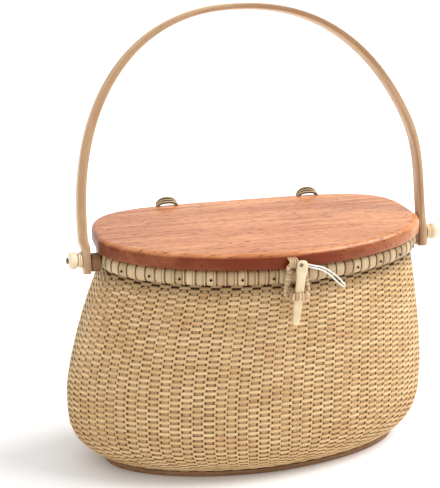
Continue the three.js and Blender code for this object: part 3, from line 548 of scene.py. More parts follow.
# Staves: thin splints in the middle of the weave, from the groove of the base up between the hoops
stave = {
    "wideShare": 0.6,
    "topWide": 0.0025,
    "thick": 0.0006,
    "low": 0.0046,
    "high": 0.172,
    "rimDepth": 0.003,
}
staveHeights = [stave["low"], *np.linspace(basket["wallLow"], basket["wallHigh"], 26), stave["high"]]
columns = []
for height in staveHeights:
    shape = bodyShape(min(max(height, basket["wallLow"]), basket["wallHigh"]))
    inWall = basket["wallLow"] < height < basket["wallHigh"]
    point, out = ovalAt(shape, staveTurns(np.arange(staveCount), height))
    apart = np.linalg.norm(np.roll(point, -1, axis=0) - point, axis=1).mean()
    half = (stave["wideShare"] * apart if height <= basket["wallHigh"] else stave["topWide"]) / 2
    sideways = np.stack([-out[:, 1], out[:, 0]], axis=-1)
    depth = weave["middle"] if inWall else stave["rimDepth"]
    corners = [(-half, -1), (0, -1), (half, -1), (half, 0.4), (0, 1), (-half, 0.4)]
    ring = [point + sideways * a - out * (depth - b * stave["thick"] / 2) for a, b in corners]
    columns.append([np.concatenate([r, np.full((len(r), 1), height)], axis=1) for r in ring])
columns = np.array(columns)
bm = startMesh()
for j in range(staveCount):
    laySheet(bm, columns[:, :, j], tint=np.full(columns.shape[:2], chance.random()))
finishPiece("stave_splints", bm, staveWood, "basket", ["staves"], capped=True)
print("staves made")

# Rim: two rounded hoops inside a lashing of flat cane with a raised edge
rim = {
    "middleDepth": -0.0024,
    "middleHeight": 0.1683,
    "halfDepth": 0.0056,
    "halfHeight": 0.0056,
    "curve": 2.7,
    "hoopShare": 0.93,
    "outerBack": -0.0022,
    "innerBack": -0.0038,
    "strapHalf": 0.00355,
    "strapThick": 0.0008,
    "stepsPerTurn": 24,
    "insideWidth": 0.72,
    "lipSlots": (70.5, 83.5),  # where the raised lip of the strap shows, left of the latch
    "lipElsewhere": 0.12,
    "crossing": (0.52, 0.98),  # the shares of a turn between which the strap moves on to the next slot
}


def rimPoint(angle, share=1.0):
    # depth and height on the rim's rounded section, from its outer side (0) over the top
    power = 2 / rim["curve"]
    depth = rim["middleDepth"] + rim["halfDepth"] * share * signedPower(np.cos(angle), power)
    return depth, rim["middleHeight"] + rim["halfHeight"] * share * signedPower(np.sin(angle), power)


def hoop(node, side, back):
    angles = np.linspace(-80, 80, 13) if side > 0 else np.linspace(100, 260, 13)
    depth, height = rimPoint(np.radians(angles), rim["hoopShare"])
    depth = np.maximum(depth, back) if side > 0 else np.minimum(depth, back)
    ringTurns = np.arange(252) / 252
    rows = np.array([ringPlaces(basket["rim"], ringTurns, d, z) for d, z in zip(depth, height)])
    tube(f"{node}_round", rows.transpose(1, 0, 2), hoopWood, "basket", "ash", node, closed=True)


hoop("outer_hoop", 1, rim["outerBack"])
hoop("inner_hoop", -1, rim["innerBack"])

# the strap's section: a crowned band, its groove and a lip at its right edge, as (across, lift, lip, painted
# shade)
strapSection = np.array([
    (-1, 0, 0, 1), (-1, 0.3, 0, 1), (-0.93, 0.7, 0, 0.5), (-0.7, 1.02, 0, 0), (-0.3, 1.22, 0, 0),
    (0.15, 1.22, 0, 0), (0.42, 1.1, -0.3, 0.1), (0.5, 1.06, -0.55, 0.5), (0.58, 1.02, 0.2, 0),
    (0.74, 0.96, 0.75, -0.4), (0.9, 0.78, 0.5, 0), (1, 0.35, 0.1, 0.9), (1, 0, 0, 1), (0, 0, 0, 1),
])


def lashing(side, firstSlot, turnCount):
    steps = rim["stepsPerTurn"] * turnCount
    part = np.arange(steps + 1) / rim["stepsPerTurn"]
    angle = 2 * math.pi * (part % 1) - math.pi / 2
    slots = firstSlot + np.floor(part) + eased(part % 1, *rim["crossing"])
    depth, height = rimPoint(angle)
    ahead = np.array(rimPoint(angle + 0.02)) - np.array(rimPoint(angle - 0.02))
    lift = np.stack([ahead[1], -ahead[0]]) / np.linalg.norm(ahead, axis=0)
    point, out = ovalAt(basket["rim"], slots / staveCount)
    sideways = np.stack([-out[:, 1], out[:, 0]], axis=-1)
    inside = np.clip((rim["middleDepth"] - depth) / rim["halfDepth"], 0, 1)
    half = rim["strapHalf"] * (1 - (1 - rim["insideWidth"]) * inside)
    onTop = np.clip((height - rim["middleHeight"]) / rim["halfHeight"], 0, 1) ** 4
    turnSlot = np.mod(firstSlot + np.floor(part), staveCount)
    lipped = (turnSlot > rim["lipSlots"][0]) & (turnSlot < rim["lipSlots"][1])
    lip = np.where(lipped, 1.0, rim["lipElsewhere"]) * (1 - onTop)
    across, crown, lipShape, hollowShape = (strapSection[None, :, k] for k in range(4))
    flatter = np.minimum(crown, 1 + (crown - 1) * (1 - onTop[:, None]))
    thick = rim["strapThick"] * (flatter + lipShape * lip[:, None])
    places = np.empty((steps + 1, len(strapSection), 3))
    outward = depth[:, None] + lift[0][:, None] * thick
    places[..., :2] = point[:, None] + out[:, None] * outward[..., None]
    places[..., :2] += sideways[:, None] * (across * half[:, None])[..., None]
    places[..., 2] = height[:, None] + lift[1][:, None] * thick
    # painted shade: dark lines at the strap's edges always, and beside the lip only where the lip shows
    grooves = (np.abs(across) > 0.92) | (crown == 0)
    hollow = np.where(grooves, hollowShape, hollowShape * lip[:, None])
    turnTint = chance.random(turnCount + 1)[np.floor(part).astype(int)][:, None]
    # the lip is given the palest tint: partly its own paler cane, partly a painted highlight
    tint = np.clip(turnTint - 0.9 * (lipShape > 0.4) * lip[:, None], 0, 1) * np.ones(len(strapSection))
    hollow = hollow * np.ones((steps + 1, 1))
    tube(f"lashing_{side}", places, bindingCane, "basket", "cane", f"rim_lashing_{side}", sharp=60,
         hollow=hollow, tint=tint)


hingeStaves = 8  # from the middle of the back to a hinge
sideTurns = 22
backTurns = 2 * hingeStaves - 2
leftStart = staveCount / 2 + hingeStaves + 1.5
for k, side in enumerate(("left", "front", "right")):
    lashing(side, leftStart + k * sideTurns, sideTurns)
lashing("back", leftStart - 2 * hingeStaves, backTurns)
print("rim lashed")

# Turned pieces at the pivots, drawn for the right side; the left side is the same piece turned half round
pivot = {
    "height": 0.1699,
    "shift": -0.00185,  # the handle and its pivots stand this far to the left
    "boreRadius": 0.0018,
    "washer": (0.14035, 0.14315, 0.00625),
    "knob": (0.14345, 0.15045, 0.0045, 0.0066),
    "pin": (0.13075, 0.15075, 0.15225, 0.0015, 0.0025),
    "pinEdge": 0.0002,
    "pinMiddle": 0.0003,
    "ear": (0.128, 0.13315),
    "sides": 48,
    # outlines from the inner to the outer end: shares of the length and of the radius
    "washerShares": [
        (0, 0.93), (0.06, 0.98), (0.2, 1), (0.34, 0.98), (0.42, 0.9), (0.47, 0.86), (0.52, 0.9), (0.58, 0.96),
        (0.74, 0.97), (0.88, 0.93), (1, 0.84),
    ],
    "knobShares": [
        (0, 0.1), (0.03, 0.2), (0.07, 0.42), (0.14, 0.66), (0.24, 0.87), (0.36, 0.97), (0.5, 1), (0.64, 0.96),
        (0.77, 0.84), (0.88, 0.6), (0.95, 0.3), (0.99, -0.1), (1, -0.5),
    ],
    "headShares": [(0.12, 1), (0.45, 0.97), (0.75, 0.8), (0.93, 0.5)],
}


def turned(name, outline, material, side):
    bm = startMesh()
    verts = [bm.verts.new((along, 0, pivot["height"] + radius)) for along, radius in outline]
    edges = [bm.edges.new(pair) for pair in zip(verts, verts[1:] + verts[:1])]
    bmesh.ops.spin(
        bm, geom=verts + edges, angle=2 * math.pi, steps=pivot["sides"], axis=(1, 0, 0),
        cent=(0, 0, pivot["height"]), use_merge=True,
    )
    if side == "left":
        bmesh.ops.rotate(bm, verts=bm.verts, cent=(0, 0, 0), matrix=Matrix.Rotation(math.pi, 3, "Z"))
    bmesh.ops.translate(bm, verts=bm.verts, vec=(pivot["shift"], 0, 0))
    return finishPiece(f"{name}_{side}", bm, material, "basket", [f"pivot_{name}_{side}"], sharp=30)


def roundedOutline(points, radius, steps=4):
    # closed outline with each corner rounded
    line = []
    points = np.array(points)
    for before, here, after in zip(np.roll(points, 1, axis=0), points, np.roll(points, -1, axis=0)):
        start = here + unit(before - here) * radius
        stop = here + unit(after - here) * radius
        for k in range(steps + 1):
            t = k / steps
            line.append((1 - t) ** 2 * start + 2 * t * (1 - t) * here + t**2 * stop)
    return np.array(line)


for side in ("left", "right"):
    inner, outer, radius = pivot["washer"]
    bore = pivot["boreRadius"]
    shape = [(inner + (outer - inner) * a, radius * b) for a, b in pivot["washerShares"]]
    turned("washer", [(inner, bore), *shape, (outer, bore)], bone, side)
    inner, outer, neck, radius = pivot["knob"]
    shape = [(inner + (outer - inner) * a, neck + (radius - neck) * b) for a, b in pivot["knobShares"]]
    turned("knob", [(inner, bore), *shape, (outer, bore)], bone, side)
    inner, under, outer, radius, head = pivot["pin"]
    edge = pivot["pinEdge"]
    shape = [(under + (outer - under) * a, head * b) for a, b in pivot["headShares"]]
    shank = [(inner, pivot["pinMiddle"]), (inner, radius - edge), (inner + edge, radius), (under, radius)]
    outline = [*shank, (under, head - edge), *shape, (outer, pivot["pinMiddle"])]
    turned("pin", outline, pinMetal, side)


# Holes: cutters joined in one mesh and taken out of a piece
def cutPiece(piece, cutters):
    bm = bmesh.new()
    for kind, centre, sizes, axis in cutters:
        if kind == "box":
            made = bmesh.ops.create_cube(bm, size=1)["verts"]
            bmesh.ops.scale(bm, vec=sizes, verts=made)
        else:
            radius, depth = sizes
            made = bmesh.ops.create_cone(
                bm, cap_ends=True, segments=24, radius1=radius, radius2=radius, depth=depth,
            )["verts"]
            turn = Vector((0, 0, 1)).rotation_difference(Vector(axis)).to_matrix()
            bmesh.ops.rotate(bm, verts=made, cent=(0, 0, 0), matrix=turn)
        bmesh.ops.translate(bm, vec=centre, verts=made)
    mesh = bpy.data.meshes.new("cutters")
    bm.to_mesh(mesh)
    bm.free()
    cutter = bpy.data.objects.new("cutters", mesh)
    scene.collection.objects.link(cutter)
    modifier = piece.modifiers.new("holes", "BOOLEAN")
    modifier.object = cutter
    modifier.operation = "DIFFERENCE"
    modifier.solver = "EXACT"
    modifier.use_self = True
    bpy.context.view_layer.update()
    made = bpy.data.meshes.new_from_object(piece.evaluated_get(bpy.context.evaluated_depsgraph_get()))
    piece.modifiers.clear()
    old = piece.data
    piece.data = made
    bpy.data.meshes.remove(old)
    bpy.data.objects.remove(cutter)
    bpy.data.meshes.remove(mesh)
    made.name = piece.name
    made.shade_smooth()
    made.set_sharp_from_angle(angle=math.radians(sharpAngle))


# Ears: brown blocks on the rim that carry the pins
earShape = {
    "outline": [
        (-0.0055, -0.0068), (-0.0028, -0.0095), (0.0028, -0.0095), (0.0055, -0.0068),
        (0.0055, 0.0015), (0.0028, 0.0042), (-0.0028, 0.0042), (-0.0055, 0.0015),
    ],
    "corner": 0.0012,
    "innerEdge": 0.0004,
    "outerEdges": (0.001, 0.0003),
    "shares": (0.9, 1, 1, 0.97, 0.88),  # how much the outline shrinks at the two edges
    "boreDepth": 0.0054,
}
outline = roundedOutline(earShape["outline"], earShape["corner"])
middle = outline.mean(axis=0)
for side, hand in (("left", -1), ("right", 1)):
    inner, outer = pivot["ear"][0], pivot["ear"][1] + hand * pivot["shift"]
    nearOuter = [outer - edge for edge in earShape["outerEdges"]]
    stations = [inner, inner + earShape["innerEdge"], *nearOuter, outer]
    rows = []
    for along, share in zip(stations, earShape["shares"]):
        y, z = (middle + (outline - middle) * share).T
        rows.append(np.stack([np.full(len(y), hand * along), y, pivot["height"] + z], axis=1))
    ear = tube(f"ear_{side}", np.array(rows), earWood, "basket", "base", f"pivot_ear_{side}")
    cutPiece(ear, [("bore", (hand * outer, 0, pivot["height"]), (bore, earShape["boreDepth"]), (1, 0, 0))])
print("pivots made")

# Handle: one bent strip, flat legs with wider ends round the pins
handle = {
    "halfSpan": 0.13675,
    "rise": 0.1861,
    "curve": 2.22,
    "archShift": -0.002,
    "bendShift": -0.00225,
    # each side: height of the shoulder, where the bend off the paddle's line starts and ends, thickness
    "left": (0.0204, 0.0075, 0.016, 0.0074),
    "right": (0.032, 0.07, 0.13, 0.006),
    # the right leg bows out between these heights, clear of the opening lid, and by how much
    "outwardHeights": (0.03, 0.08, 0.17),
    "outward": 0.0017,
    "tail": 0.011,
    "tipLength": 0.0055,
    "tipShares": (0.66, 0.8),  # of the width and the thickness that are left at the very end
    "wide": 0.0104,
    "thick": 0.006,
    "topThick": 0.0047,
    "paddleWide": 0.012,
    "paddleThick": 0.0066,
    "paddleTop": 0.016,
    "paddleEase": 0.013,
    "bore": (0.0019, 0.011),
    "curves": (0.4, 0.44),  # how square the section is across and through
    "pointsRound": 28,
    "edge": (0.44, 0.03),  # the edge faces start at this share of the width, over this much
    "edgeAt": (-0.1, 0.02, 0.1),
    "edgeShade": (0.6, 0.9, 1.0),
    "lean": -15,
}


def handleLine():
    # middle of the strip from its left to its right end: x, height, share of the rise, thickness
    sides = []
    for hand, name in ((-1, "left"), (1, "right")):
        shoulder, bendStart, bendEnd, legThick = handle[name]
        tip = -handle["tail"] + np.array([0, 0.0004, 0.0014, 0.003, handle["tipLength"]])
        leg = np.concatenate([tip, np.linspace(-0.003, shoulder, 18)[:-1]])
        angle = np.linspace(0, math.pi / 2, 49)
        share = np.sin(angle) ** (2 / handle["curve"])
        height = np.concatenate([leg, shoulder + (handle["rise"] - shoulder) * share])
        share = np.concatenate([0 * leg, share])
        reach = np.concatenate([0 * leg + 1, np.clip(np.cos(angle), 0, 1) ** (2 / handle["curve"])])
        bend = eased(height, bendStart, bendEnd)
        thick = legThick + (handle["thick"] - legThick) * share**3
        x = hand * handle["halfSpan"] * reach + pivot["shift"] - hand * (thick - handle["thick"]) / 2 * bend
        x = x + handle["bendShift"] * bend + handle["archShift"] * share**2
        if hand > 0:
            start, most, stop = handle["outwardHeights"]
            x = x + handle["outward"] * eased(height, start, most) * (1 - eased(height, most, stop))
        sides.append(np.stack([x, height, share, thick], axis=1))
    return np.concatenate([sides[0], sides[1][-2::-1]])


def handlePlaces():
    x, height, share, legThick = handleLine().T
    line = np.stack([x, 0 * x, height], axis=1)
    ahead = unit(np.gradient(line, axis=0))
    through = np.stack([-ahead[:, 2], 0 * x, ahead[:, 0]], axis=1)
    ease = 1 - eased(height, handle["paddleTop"] - handle["paddleEase"], handle["paddleTop"])
    fromTip = np.clip((height + handle["tail"]) / handle["tipLength"], 0, 1)
    tipWide, tipThick = handle["tipShares"]
    wide = handle["wide"] + (handle["paddleWide"] - handle["wide"]) * ease
    wide = wide * (tipWide + (1 - tipWide) * np.sqrt(1 - (1 - fromTip) ** 2))
    thick = legThick * (1 + (handle["topThick"] / handle["thick"] - 1) * share**8)
    thick = thick + (handle["paddleThick"] - thick) * ease
    thick = thick * (tipThick + (1 - tipThick) * np.sqrt(fromTip))
    angles = 2 * np.pi * (np.arange(handle["pointsRound"]) + 0.5) / handle["pointsRound"]
    acrossCurve, throughCurve = handle["curves"]
    a, b = signedPower(np.cos(angles), acrossCurve) / 2, signedPower(np.sin(angles), throughCurve) / 2
    places = line[:, None] + through[:, None] * (thick[:, None, None] * b[None, :, None])
    places[..., 1] += wide[:, None] * a[None]
    lean = math.radians(handle["lean"])
    y, z = places[..., 1].copy(), places[..., 2].copy()
    places[..., 1] = y * math.cos(lean) - z * math.sin(lean)
    places[..., 2] = y * math.sin(lean) + z * math.cos(lean) + pivot["height"]
    # the edge faces are darker, most of all on the right: partly the edge grain's own browner tone, partly
    # painted shade
    edgeStart, edgeWide = handle["edge"]
    edgeShade = np.interp(x, handle["edgeAt"], handle["edgeShade"])
    return places, np.clip((np.abs(a) - edgeStart) / edgeWide, 0, 1) * edgeShade[:, None]


places, edgeToneAndShade = handlePlaces()
bow = tube("handle_bow", places, bowWood, "handle", "ash", "handle", hollow=edgeToneAndShade)
cutPiece(bow, [
    ("bore", (hand * handle["halfSpan"] + pivot["shift"], 0, pivot["height"]), handle["bore"], (1, 0, 0))
    for hand in (-1, 1)
])
print("handle made")


# Boards with an oval outline: rows of (outward, height) from the middle of one face to the other's middle
def ovalBoard(name, shape, rows, material, body, slot, node, deepAt=None):
    ringTurns = np.arange(240) / 240
    rings = np.array([ringPlaces(shape, ringTurns, outward, height) for outward, height in rows])
    deep = np.array([[deepAt(turn, row) if deepAt else 0.0 for turn in ringTurns] for row in rows])
    return tube(name, rings, material, body, slot, node, hollow=deep)


def arcRows(outward, height, radius, fromAngle, toAngle, steps):
    angles = np.radians(np.linspace(fromAngle, toAngle, steps + 1))
    return [(outward + radius * math.cos(a), height + radius * math.sin(a)) for a in angles]


lid = {
    "low": 0.1751,
    "top": 0.1871,
    "topRound": 0.0046,
    "lowRound": 0.0024,
    "rings": (-0.02, -0.008, -0.006),  # extra rings on the flat faces: both, underside, top
    "stainAndShadeBelow": 0.0008,
    "stainAndShadeOver": 0.002,
    "stainAndShadeGap": (0.2, 0.09, 0.85),  # where it is thinner, in turns, how wide, and by how much
}
deepRing, lowRing, topRing = lid["rings"]
lidRows = [(deepRing, lid["low"]), (lowRing, lid["low"])]
lidRows += arcRows(-lid["lowRound"], lid["low"] + lid["lowRound"], lid["lowRound"], -90, 0, 5)
lidRows += arcRows(-lid["topRound"], lid["top"] - lid["topRound"], lid["topRound"], 0, 90, 8)
lidRows += [(topRing, lid["top"]), (deepRing, lid["top"])]


def lidStainAndShadeAt(turn, row):
    # the side of the lid is darker, partly its own deeper stain and partly painted shade, least at its right
    # end
    down = min(max((lid["top"] - lid["stainAndShadeBelow"] - row[1]) / lid["stainAndShadeOver"], 0), 1)
    middle, spread, thinner = lid["stainAndShadeGap"]
    return down * (1 - thinner * math.exp(-((turn - middle) / spread) ** 2))


board = ovalBoard("lid_board", basket["lid"], lidRows, lidWood, "lid", "cherry", "lid", deepAt=lidStainAndShadeAt)

hinge = {
    "depth": 0.0695,
    "height": 0.1763,
    "halfWidth": 0.008,
    "top": 0.1929,
    "cane": 0.002,
    "lanes": 3,
    "laneSpacing": 0.00195,
    "laneRise": 0.0013,
    "slots": (staveCount // 2 + hingeStaves, staveCount // 2 - hingeStaves),
    "tieRadius": 0.0027,
    "room": 0.0006,
    "notchRoom": 0.002,
    "notchAbove": 0.0014,
    "slotMiddle": 0.006,
    "slotTall": 0.016,
    # one leg of a loop from the tie up into the lid: share of the half width, height above the tie
    "leg": [(0.35, 0), (0.75, 0), (0.97, 0.0012), (1, 0.003), (1, 0.0075)],
    "archCurve": 0.85,
    "sunk": 0.0002,
    "section": (1.15, 0.98),  # shares of the cane and of the space between lanes
}
hingeX = [ovalAt(basket["rim"], np.array(slot / basket["staves"]))[0][0] for slot in hinge["slots"]]
laneRoom = (hinge["lanes"] - 1) * hinge["laneSpacing"] + hinge["cane"] + 2 * hinge["room"]
legRoom = hinge["cane"] + 2 * hinge["room"]
notchFront = hinge["depth"] - hinge["tieRadius"] - hinge["notchRoom"]
notchBack = basket["lid"][1] + hinge["notchRoom"]
notchTop = hinge["height"] + hinge["tieRadius"] + hinge["notchAbove"]
notchLow = lid["low"] - hinge["notchRoom"]
holes = []
for x in hingeX:
    centre = (x, (notchFront + notchBack) / 2, (notchTop + notchLow) / 2)
    sizes = (2 * hinge["halfWidth"] + legRoom, notchBack - notchFront, notchTop - notchLow)
    holes.append(("box", centre, sizes, None))
    for hand in (-1, 1):
        centre = (x + hand * hinge["halfWidth"], hinge["depth"], lid["low"] + hinge["slotMiddle"])
        holes.append(("box", centre, (legRoom, laneRoom, hinge["slotTall"]), None))
cutPiece(board, holes)

foot = {
    "height": 0.0055,
    "ledge": 0.0044,
    "ledgeDepth": -0.0042,
    "lowRound": 0.001,
    "ledgeRound": 0.0008,
    "rings": (-0.02, -0.004, -0.012),  # extra rings on the flat faces: two on the underside, one on top
}
deepRing, lowRing, topRing = foot["rings"]
baseRows = [(deepRing, 0), (lowRing, 0)]
baseRows += arcRows(-foot["lowRound"], foot["lowRound"], foot["lowRound"], -90, 0, 4)
baseRows += arcRows(-foot["ledgeRound"], foot["ledge"] - foot["ledgeRound"], foot["ledgeRound"], 0, 90, 5)
baseRows += [(foot["ledgeDepth"], foot["ledge"]), (foot["ledgeDepth"], foot["height"])]
baseRows += [(topRing, foot["height"])]
ovalBoard("base_board", basket["foot"], baseRows, baseWood, "basket", "base", "base_plate")
print("boards made")

# Hinges: flattened cane wound through the lid, one lane beside the other, with its bottom run tied to the rim
flat, packed = hinge["section"]
section = roundSection(hinge["cane"] * flat, hinge["laneSpacing"] * packed, 12)
# painted shade on the sides of the cane where the lanes lie against each other
laneSideShade = np.clip((np.abs(section[:, 1]) / section[:, 1].max() - 0.7) / 0.3, 0, 1)
for side, x in zip(("left", "right"), hingeX):
    route = []
    for lane in range(hinge["lanes"]):
        y = hinge["depth"] + (lane - (hinge["lanes"] - 1) / 2) * hinge["laneSpacing"]
        top = hinge["top"] - hinge["laneRise"] * (hinge["lanes"] - 1 - lane)
        places = [(-along, hinge["height"] + height) for along, height in hinge["leg"]]
        for k in range(11):
            angle = math.pi * (1 - k / 10)
            rise = (top - lid["top"]) * max(math.sin(angle), 0) ** hinge["archCurve"]
            places.append((math.cos(angle), lid["top"] + rise - hinge["sunk"]))
        places += [(along, hinge["height"] + height) for along, height in hinge["leg"][::-1]]
        route += [(x + along * hinge["halfWidth"], y, height) for along, height in places]
    line, _ = evenly(throughPoints(route, 4), 64 * hinge["lanes"])
    tint = np.repeat(np.linspace(0.1, 0.9, len(line))[:, None], len(section), axis=1)
    tube(f"hinge_cane_{side}", tubePlaces(line, section, (0, 1, 0)), bindingCane, "lid", "cane",
         f"hinge_loop_{side}", sharp=60, hollow=np.tile(laneSideShade, (len(line), 1)), tint=tint)

for node in ("hinge_tie_left", "hinge_tie_right"):
    for slot in bpy.data.objects[node].material_slots:
        slot.material = bindingCane
bpy.data.objects["rim_filler"].material_slots[0].material = staveWood
print("hinges made")

# Nails: one domed head on every third turn of the lashing
nail = {"count": 24, "radius": 0.00105, "dome": 0.00045, "out": 0.0001, "every": 3}
nailSlots = nail["every"] / 2 + np.arange(0, staveCount, nail["every"])
slotPoints, slotOutward = ovalAt(basket["rim"], nailSlots / staveCount)
nailNodes = [f"rim_nail_{k + 1}" for k in range(nail["count"])]
bm = startMesh()
for node in nailNodes:
    low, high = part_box(node)
    centre = (low + high) / 2
    nearest = np.argmin(np.linalg.norm(slotPoints - np.array(centre)[:2], axis=1))
    outward = Vector((*slotOutward[nearest], 0))
    dome = bmesh.ops.create_uvsphere(bm, u_segments=12, v_segments=8, radius=1)["verts"]
    bmesh.ops.scale(bm, verts=dome, vec=(nail["radius"], nail["radius"], nail["dome"]))
    bmesh.ops.rotate(bm, verts=dome, matrix=Vector((0, 0, 1)).rotation_difference(outward).to_matrix())
    bmesh.ops.translate(bm, verts=dome, vec=centre + outward * nail["out"])
finishPiece("rim_nails", bm, nailMetal, "basket", nailNodes)

# Latch: hasp and staple of wrapped cane, cane eye, bone peg
latch = {
    "x": 0.004,
    "hangHeight": 0.1805,
    "hangDepth": 0.078,
    "cane": 0.0032,
    "halfWidth": 0.0086,
    "topHalfWidth": 0.0068,
    "length": 0.029,
    "corner": 0.0044,
    "legShares": [(0, 1), (0.06, 1.5), (0.22, 1.8), (0.6, 1.5), (0.85, 1.1), (1, 1)],
    "wrapPitch": 0.0011,
    "wrapDepth": 0.16,
    "plainAbove": 0.1765,
    "wrapEase": 0.001,
}


def haspStations():
    # x, z and swell all the way round: right leg upwards, top bar, left leg downwards, bottom
    bottom = latch["hangHeight"] - latch["length"]
    shoulder = latch["hangHeight"] - latch["corner"]
    legFoot = bottom + latch["halfWidth"]
    half, top, corner = latch["halfWidth"], latch["topHalfWidth"], latch["corner"]

    def leg(hand, shares):
        return [
            (hand * (top + (half - top) * along - latch["cane"] / 2 * (swell - 1)),
             shoulder + (legFoot - shoulder) * along, swell)
            for along, swell in shares
        ]

    def arc(centreX, centreZ, radius, quarter, steps):
        angles = [math.pi / 2 * (quarter + k / steps) for k in range(1, steps)]
        return [(centreX + radius * math.cos(a), centreZ + radius * math.sin(a), 1) for a in angles]

    stations = leg(1, latch["legShares"][::-1]) + arc(top - corner, shoulder, corner, 0, 5)
    stations += [(x, latch["hangHeight"], 1) for x in (top - corner, 0, corner - top)]
    stations += arc(corner - top, shoulder, corner, 1, 5) + leg(-1, latch["legShares"])
    stations += arc(0, legFoot, half, 2, 7) + [(0, bottom, 1)] + arc(0, legFoot, half, 3, 7)
    return [(latch["x"] + x, -latch["hangDepth"], z, swell) for x, z, swell in stations + stations[:1]]


def wrapped(name, line, length, size, up, look, wraps, body, node, closed=False, lean=1):
    # cane wound round a core: rounded ridges that climb round it, with painted shade in the grooves between
    # them
    sides = 16
    section = roundSection(*size, sides)
    steps = np.linspace(0, length, len(line))[:, None] / look["wrapPitch"]
    phase = (steps + lean * np.arange(sides)[None] / sides) % 1
    ridge = np.sqrt(np.clip(1 - (2 * phase - 1) ** 2, 0, 1))
    grooves = look["wrapDepth"] * wraps[:, None] * (1 - ridge)
    swell = np.stack([line[:, 3], np.ones(len(line))], axis=1)
    around = section[None] * (1 - grooves[..., None]) * swell[:, None]
    # painted shade in the grooves between the wraps
    hollow = np.clip(1.5 - 1.8 * ridge, 0, 1) * wraps[:, None]
    tint = (np.floor(steps) * 0.37 % 1) * np.ones(sides)
    places = tubePlaces(line[:, :3], around, up, closed)
    tube(name, places, wrapCane, body, "cane", node, closed, sharp=80, hollow=hollow, tint=tint)


def frontAt(x, halfLength, depth, curve):
    # how far in front of its middle an oval reaches at x
    return depth * (1 - abs(x / halfLength) ** curve) ** (1 / curve)


line, length = evenly(throughPoints(haspStations(), 6), 1001)
wraps = np.clip((latch["plainAbove"] - line[:-1, 2]) / latch["wrapEase"], 0, 1)
wrapped(
    "hasp_wrapped", line[:-1], length * 0.999, (latch["cane"], latch["cane"]), (0, 1, 0), latch, wraps,
    "hasp", "hasp_loop", closed=True,
)

staple = {
    "height": 0.1576,
    "neck": 0.0037,
    "halfWidth": 0.0059,
    "deep": 0.0032,
    "tall": 0.0058,
    "throat": 0.0799,
    "front": 0.0877,
    "sunk": 0.0012,
    "straight": 0.004,
    "bends": [(0.89, 0.22), (1, 0.47), (1, 0.73), (0.72, 0.93), (0.3, 1)],
    "wrapPitch": 0.0022,
    "wrapDepth": 0.34,
    "wrapEase": 0.002,
}
halfLength, frontDepth, _, frontCurve, _, shiftX, shiftY = bodyShape(staple["height"])
wallFace = frontAt(latch["x"] - shiftX, halfLength, frontDepth, frontCurve) - shiftY
neckDepths = (wallFace - staple["sunk"], staple["throat"] - staple["straight"], staple["throat"])
stapleHalf = [(staple["neck"], depth) for depth in neckDepths]
for across, out in staple["bends"]:
    depth = staple["throat"] + (staple["front"] - staple["throat"]) * out
    stapleHalf.append((staple["halfWidth"] * across, depth))
route = [(latch["x"] - x, -depth, staple["height"], 1) for x, depth in stapleHalf]
route += [(latch["x"] + x, -depth, staple["height"], 1) for x, depth in stapleHalf[::-1]]
line, length = evenly(throughPoints(route, 6), 420)
wraps = np.clip((-line[:, 1] - staple["throat"] + staple["wrapEase"]) / staple["wrapEase"], 0, 1)
wrapped(
    "staple_wrapped", line, length, (staple["deep"], staple["tall"]), (0, 0, 1), staple, wraps,
    "basket", "latch_staple", lean=0,
)

# Eye on the lid's front edge: flat cane round the top bar of the hasp
eye = {
    "turns": (-0.0058, -0.004, -0.0022, -0.0004),
    "cane": 0.0017,
    "flat": 0.8,
    "halfHeight": 0.0031,
    "reach": 0.0003,
    "sunk": 0.0015,
}
lidHalf, lidDepth, _, lidCurve = basket["lid"][:4]
bm = startMesh()
for turn, offset in enumerate(eye["turns"]):
    x = latch["x"] + offset
    seat = eye["sunk"] - frontAt(x, lidHalf, lidDepth, lidCurve)
    front = -latch["hangDepth"] - latch["cane"] / 2 - eye["reach"] - eye["cane"] / 2 + eye["halfHeight"]
    route = [(x, seat, latch["hangHeight"] + eye["halfHeight"])]
    for k in range(17):
        angle = math.pi * k / 16
        y = front - eye["halfHeight"] * math.sin(angle)
        route.append((x, y, latch["hangHeight"] + eye["halfHeight"] * math.cos(angle)))
    route.append((x, seat, latch["hangHeight"] - eye["halfHeight"]))
    line, _ = evenly(throughPoints(route, 4), 60)
    places = tubePlaces(line, roundSection(eye["cane"] * eye["flat"], eye["cane"], 10), (1, 0, 0))
    laySheet(bm, places, tint=np.full(places.shape[:2], 0.2 + 0.1 * turn))
finishPiece("hasp_eye_turns", bm, bindingCane, "lid", ["hasp_eye"], sharp=60, capped=True)

peg = {
    "length": 0.05,
    "wide": 0.0082,
    "thick": 0.0044,
    "above": 0.0267,
    "back": 0.0814,
    "lean": 5.5,
    "eyelet": (-0.0016, -0.0029, 0.0016),
    "stations": [
        (0, 0.3, 0.35), (0.008, 0.62, 0.7), (0.03, 0.86, 0.94), (0.06, 0.97, 1), (0.1, 1, 1), (0.16, 1, 1),
        (0.2, 0.92, 1), (0.24, 0.8, 1), (0.3, 0.78, 1), (0.6, 0.78, 0.96), (0.9, 0.66, 0.84),
        (0.97, 0.6, 0.78), (0.992, 0.46, 0.6), (1, 0.24, 0.35),
    ],  # share of the length, then of the width and the thickness
    "curve": 0.62,
    "pointsRound": 28,
}
stations = np.array(peg["stations"])
along = np.unique(np.concatenate([stations[:, 0], np.linspace(0, 1, 30)]))
wide, thick = (np.interp(along, stations[:, 0], stations[:, k]) for k in (1, 2))
angles = 2 * math.pi * (np.arange(peg["pointsRound"]) + 0.5) / peg["pointsRound"]
rounded = np.stack([signedPower(f(angles), peg["curve"]) / 2 for f in (np.cos, np.sin)], axis=1)
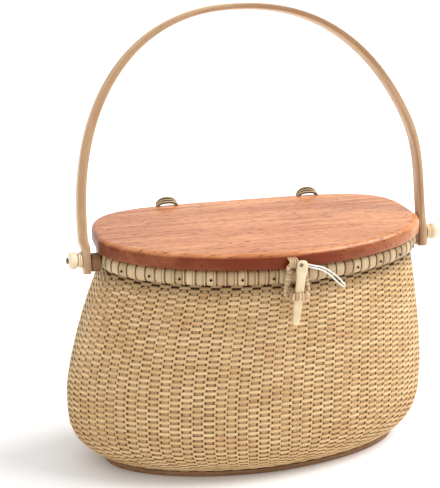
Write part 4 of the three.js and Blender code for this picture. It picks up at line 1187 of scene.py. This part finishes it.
places = np.zeros((len(along), len(angles), 3))
places[..., 0] = rounded[None, :, 0] * peg["wide"] * wide[:, None]
places[..., 1] = rounded[None, :, 1] * peg["thick"] * thick[:, None]
places[..., 2] = -along[:, None] * peg["length"] + peg["above"]
lean = Matrix.Translation((latch["x"], -peg["back"] - peg["thick"] / 2, staple["height"]))
lean = lean @ Matrix.Rotation(math.radians(peg["lean"]), 4, "Y")
bm = startMesh()
laySheet(bm, places)
bmesh.ops.transform(bm, matrix=lean, verts=bm.verts)
bonePeg = finishPiece("peg_bone", bm, bone, "peg", ["latch_peg"], capped=True)
eyeletX, eyeletBelow, eyeletRadius = peg["eyelet"]
eyeletCentre = lean @ Vector((eyeletX, 0, peg["above"] + eyeletBelow))
cutPiece(bonePeg, [("bore", eyeletCentre, (eyeletRadius, 0.01), (0, 1, 0))])
print("latch made")

# Floor and light
studio = {
    "floor": 0.92,
    "floorSize": 8,
    "world": 0.95,
    "sun": 3.3,
    "sunFrom": (0.66, -0.06, 0.75),
    "sunSize": 40,
}
white = (*[studio["floor"]] * 3, 1)
floorPaint = Paint("floorWhite", Roughness=0.9, Base_Color=white, Specular_IOR_Level=0.0)
bm = bmesh.new()
bmesh.ops.create_grid(bm, x_segments=1, y_segments=1, size=studio["floorSize"])
mesh = bpy.data.meshes.new("floor")
bm.to_mesh(mesh)
bm.free()
mesh.materials.append(floorPaint.material)
floor = bpy.data.objects.new("floor", mesh)
scene.collection.objects.link(floor)

world = bpy.data.worlds.new("studio")
scene.world = world
world.use_nodes = True
world.node_tree.nodes["Background"].inputs["Color"].default_value = (1, 1, 1, 1)
world.node_tree.nodes["Background"].inputs["Strength"].default_value = studio["world"]

light = bpy.data.lights.new("key", "SUN")
light.energy = studio["sun"]
light.angle = math.radians(studio["sunSize"])
key = bpy.data.objects.new("key", light)
key.rotation_mode = "QUATERNION"
key.rotation_quaternion = Vector(studio["sunFrom"]).to_track_quat("Z", "Y")
scene.collection.objects.link(key)
print("floor and light set")
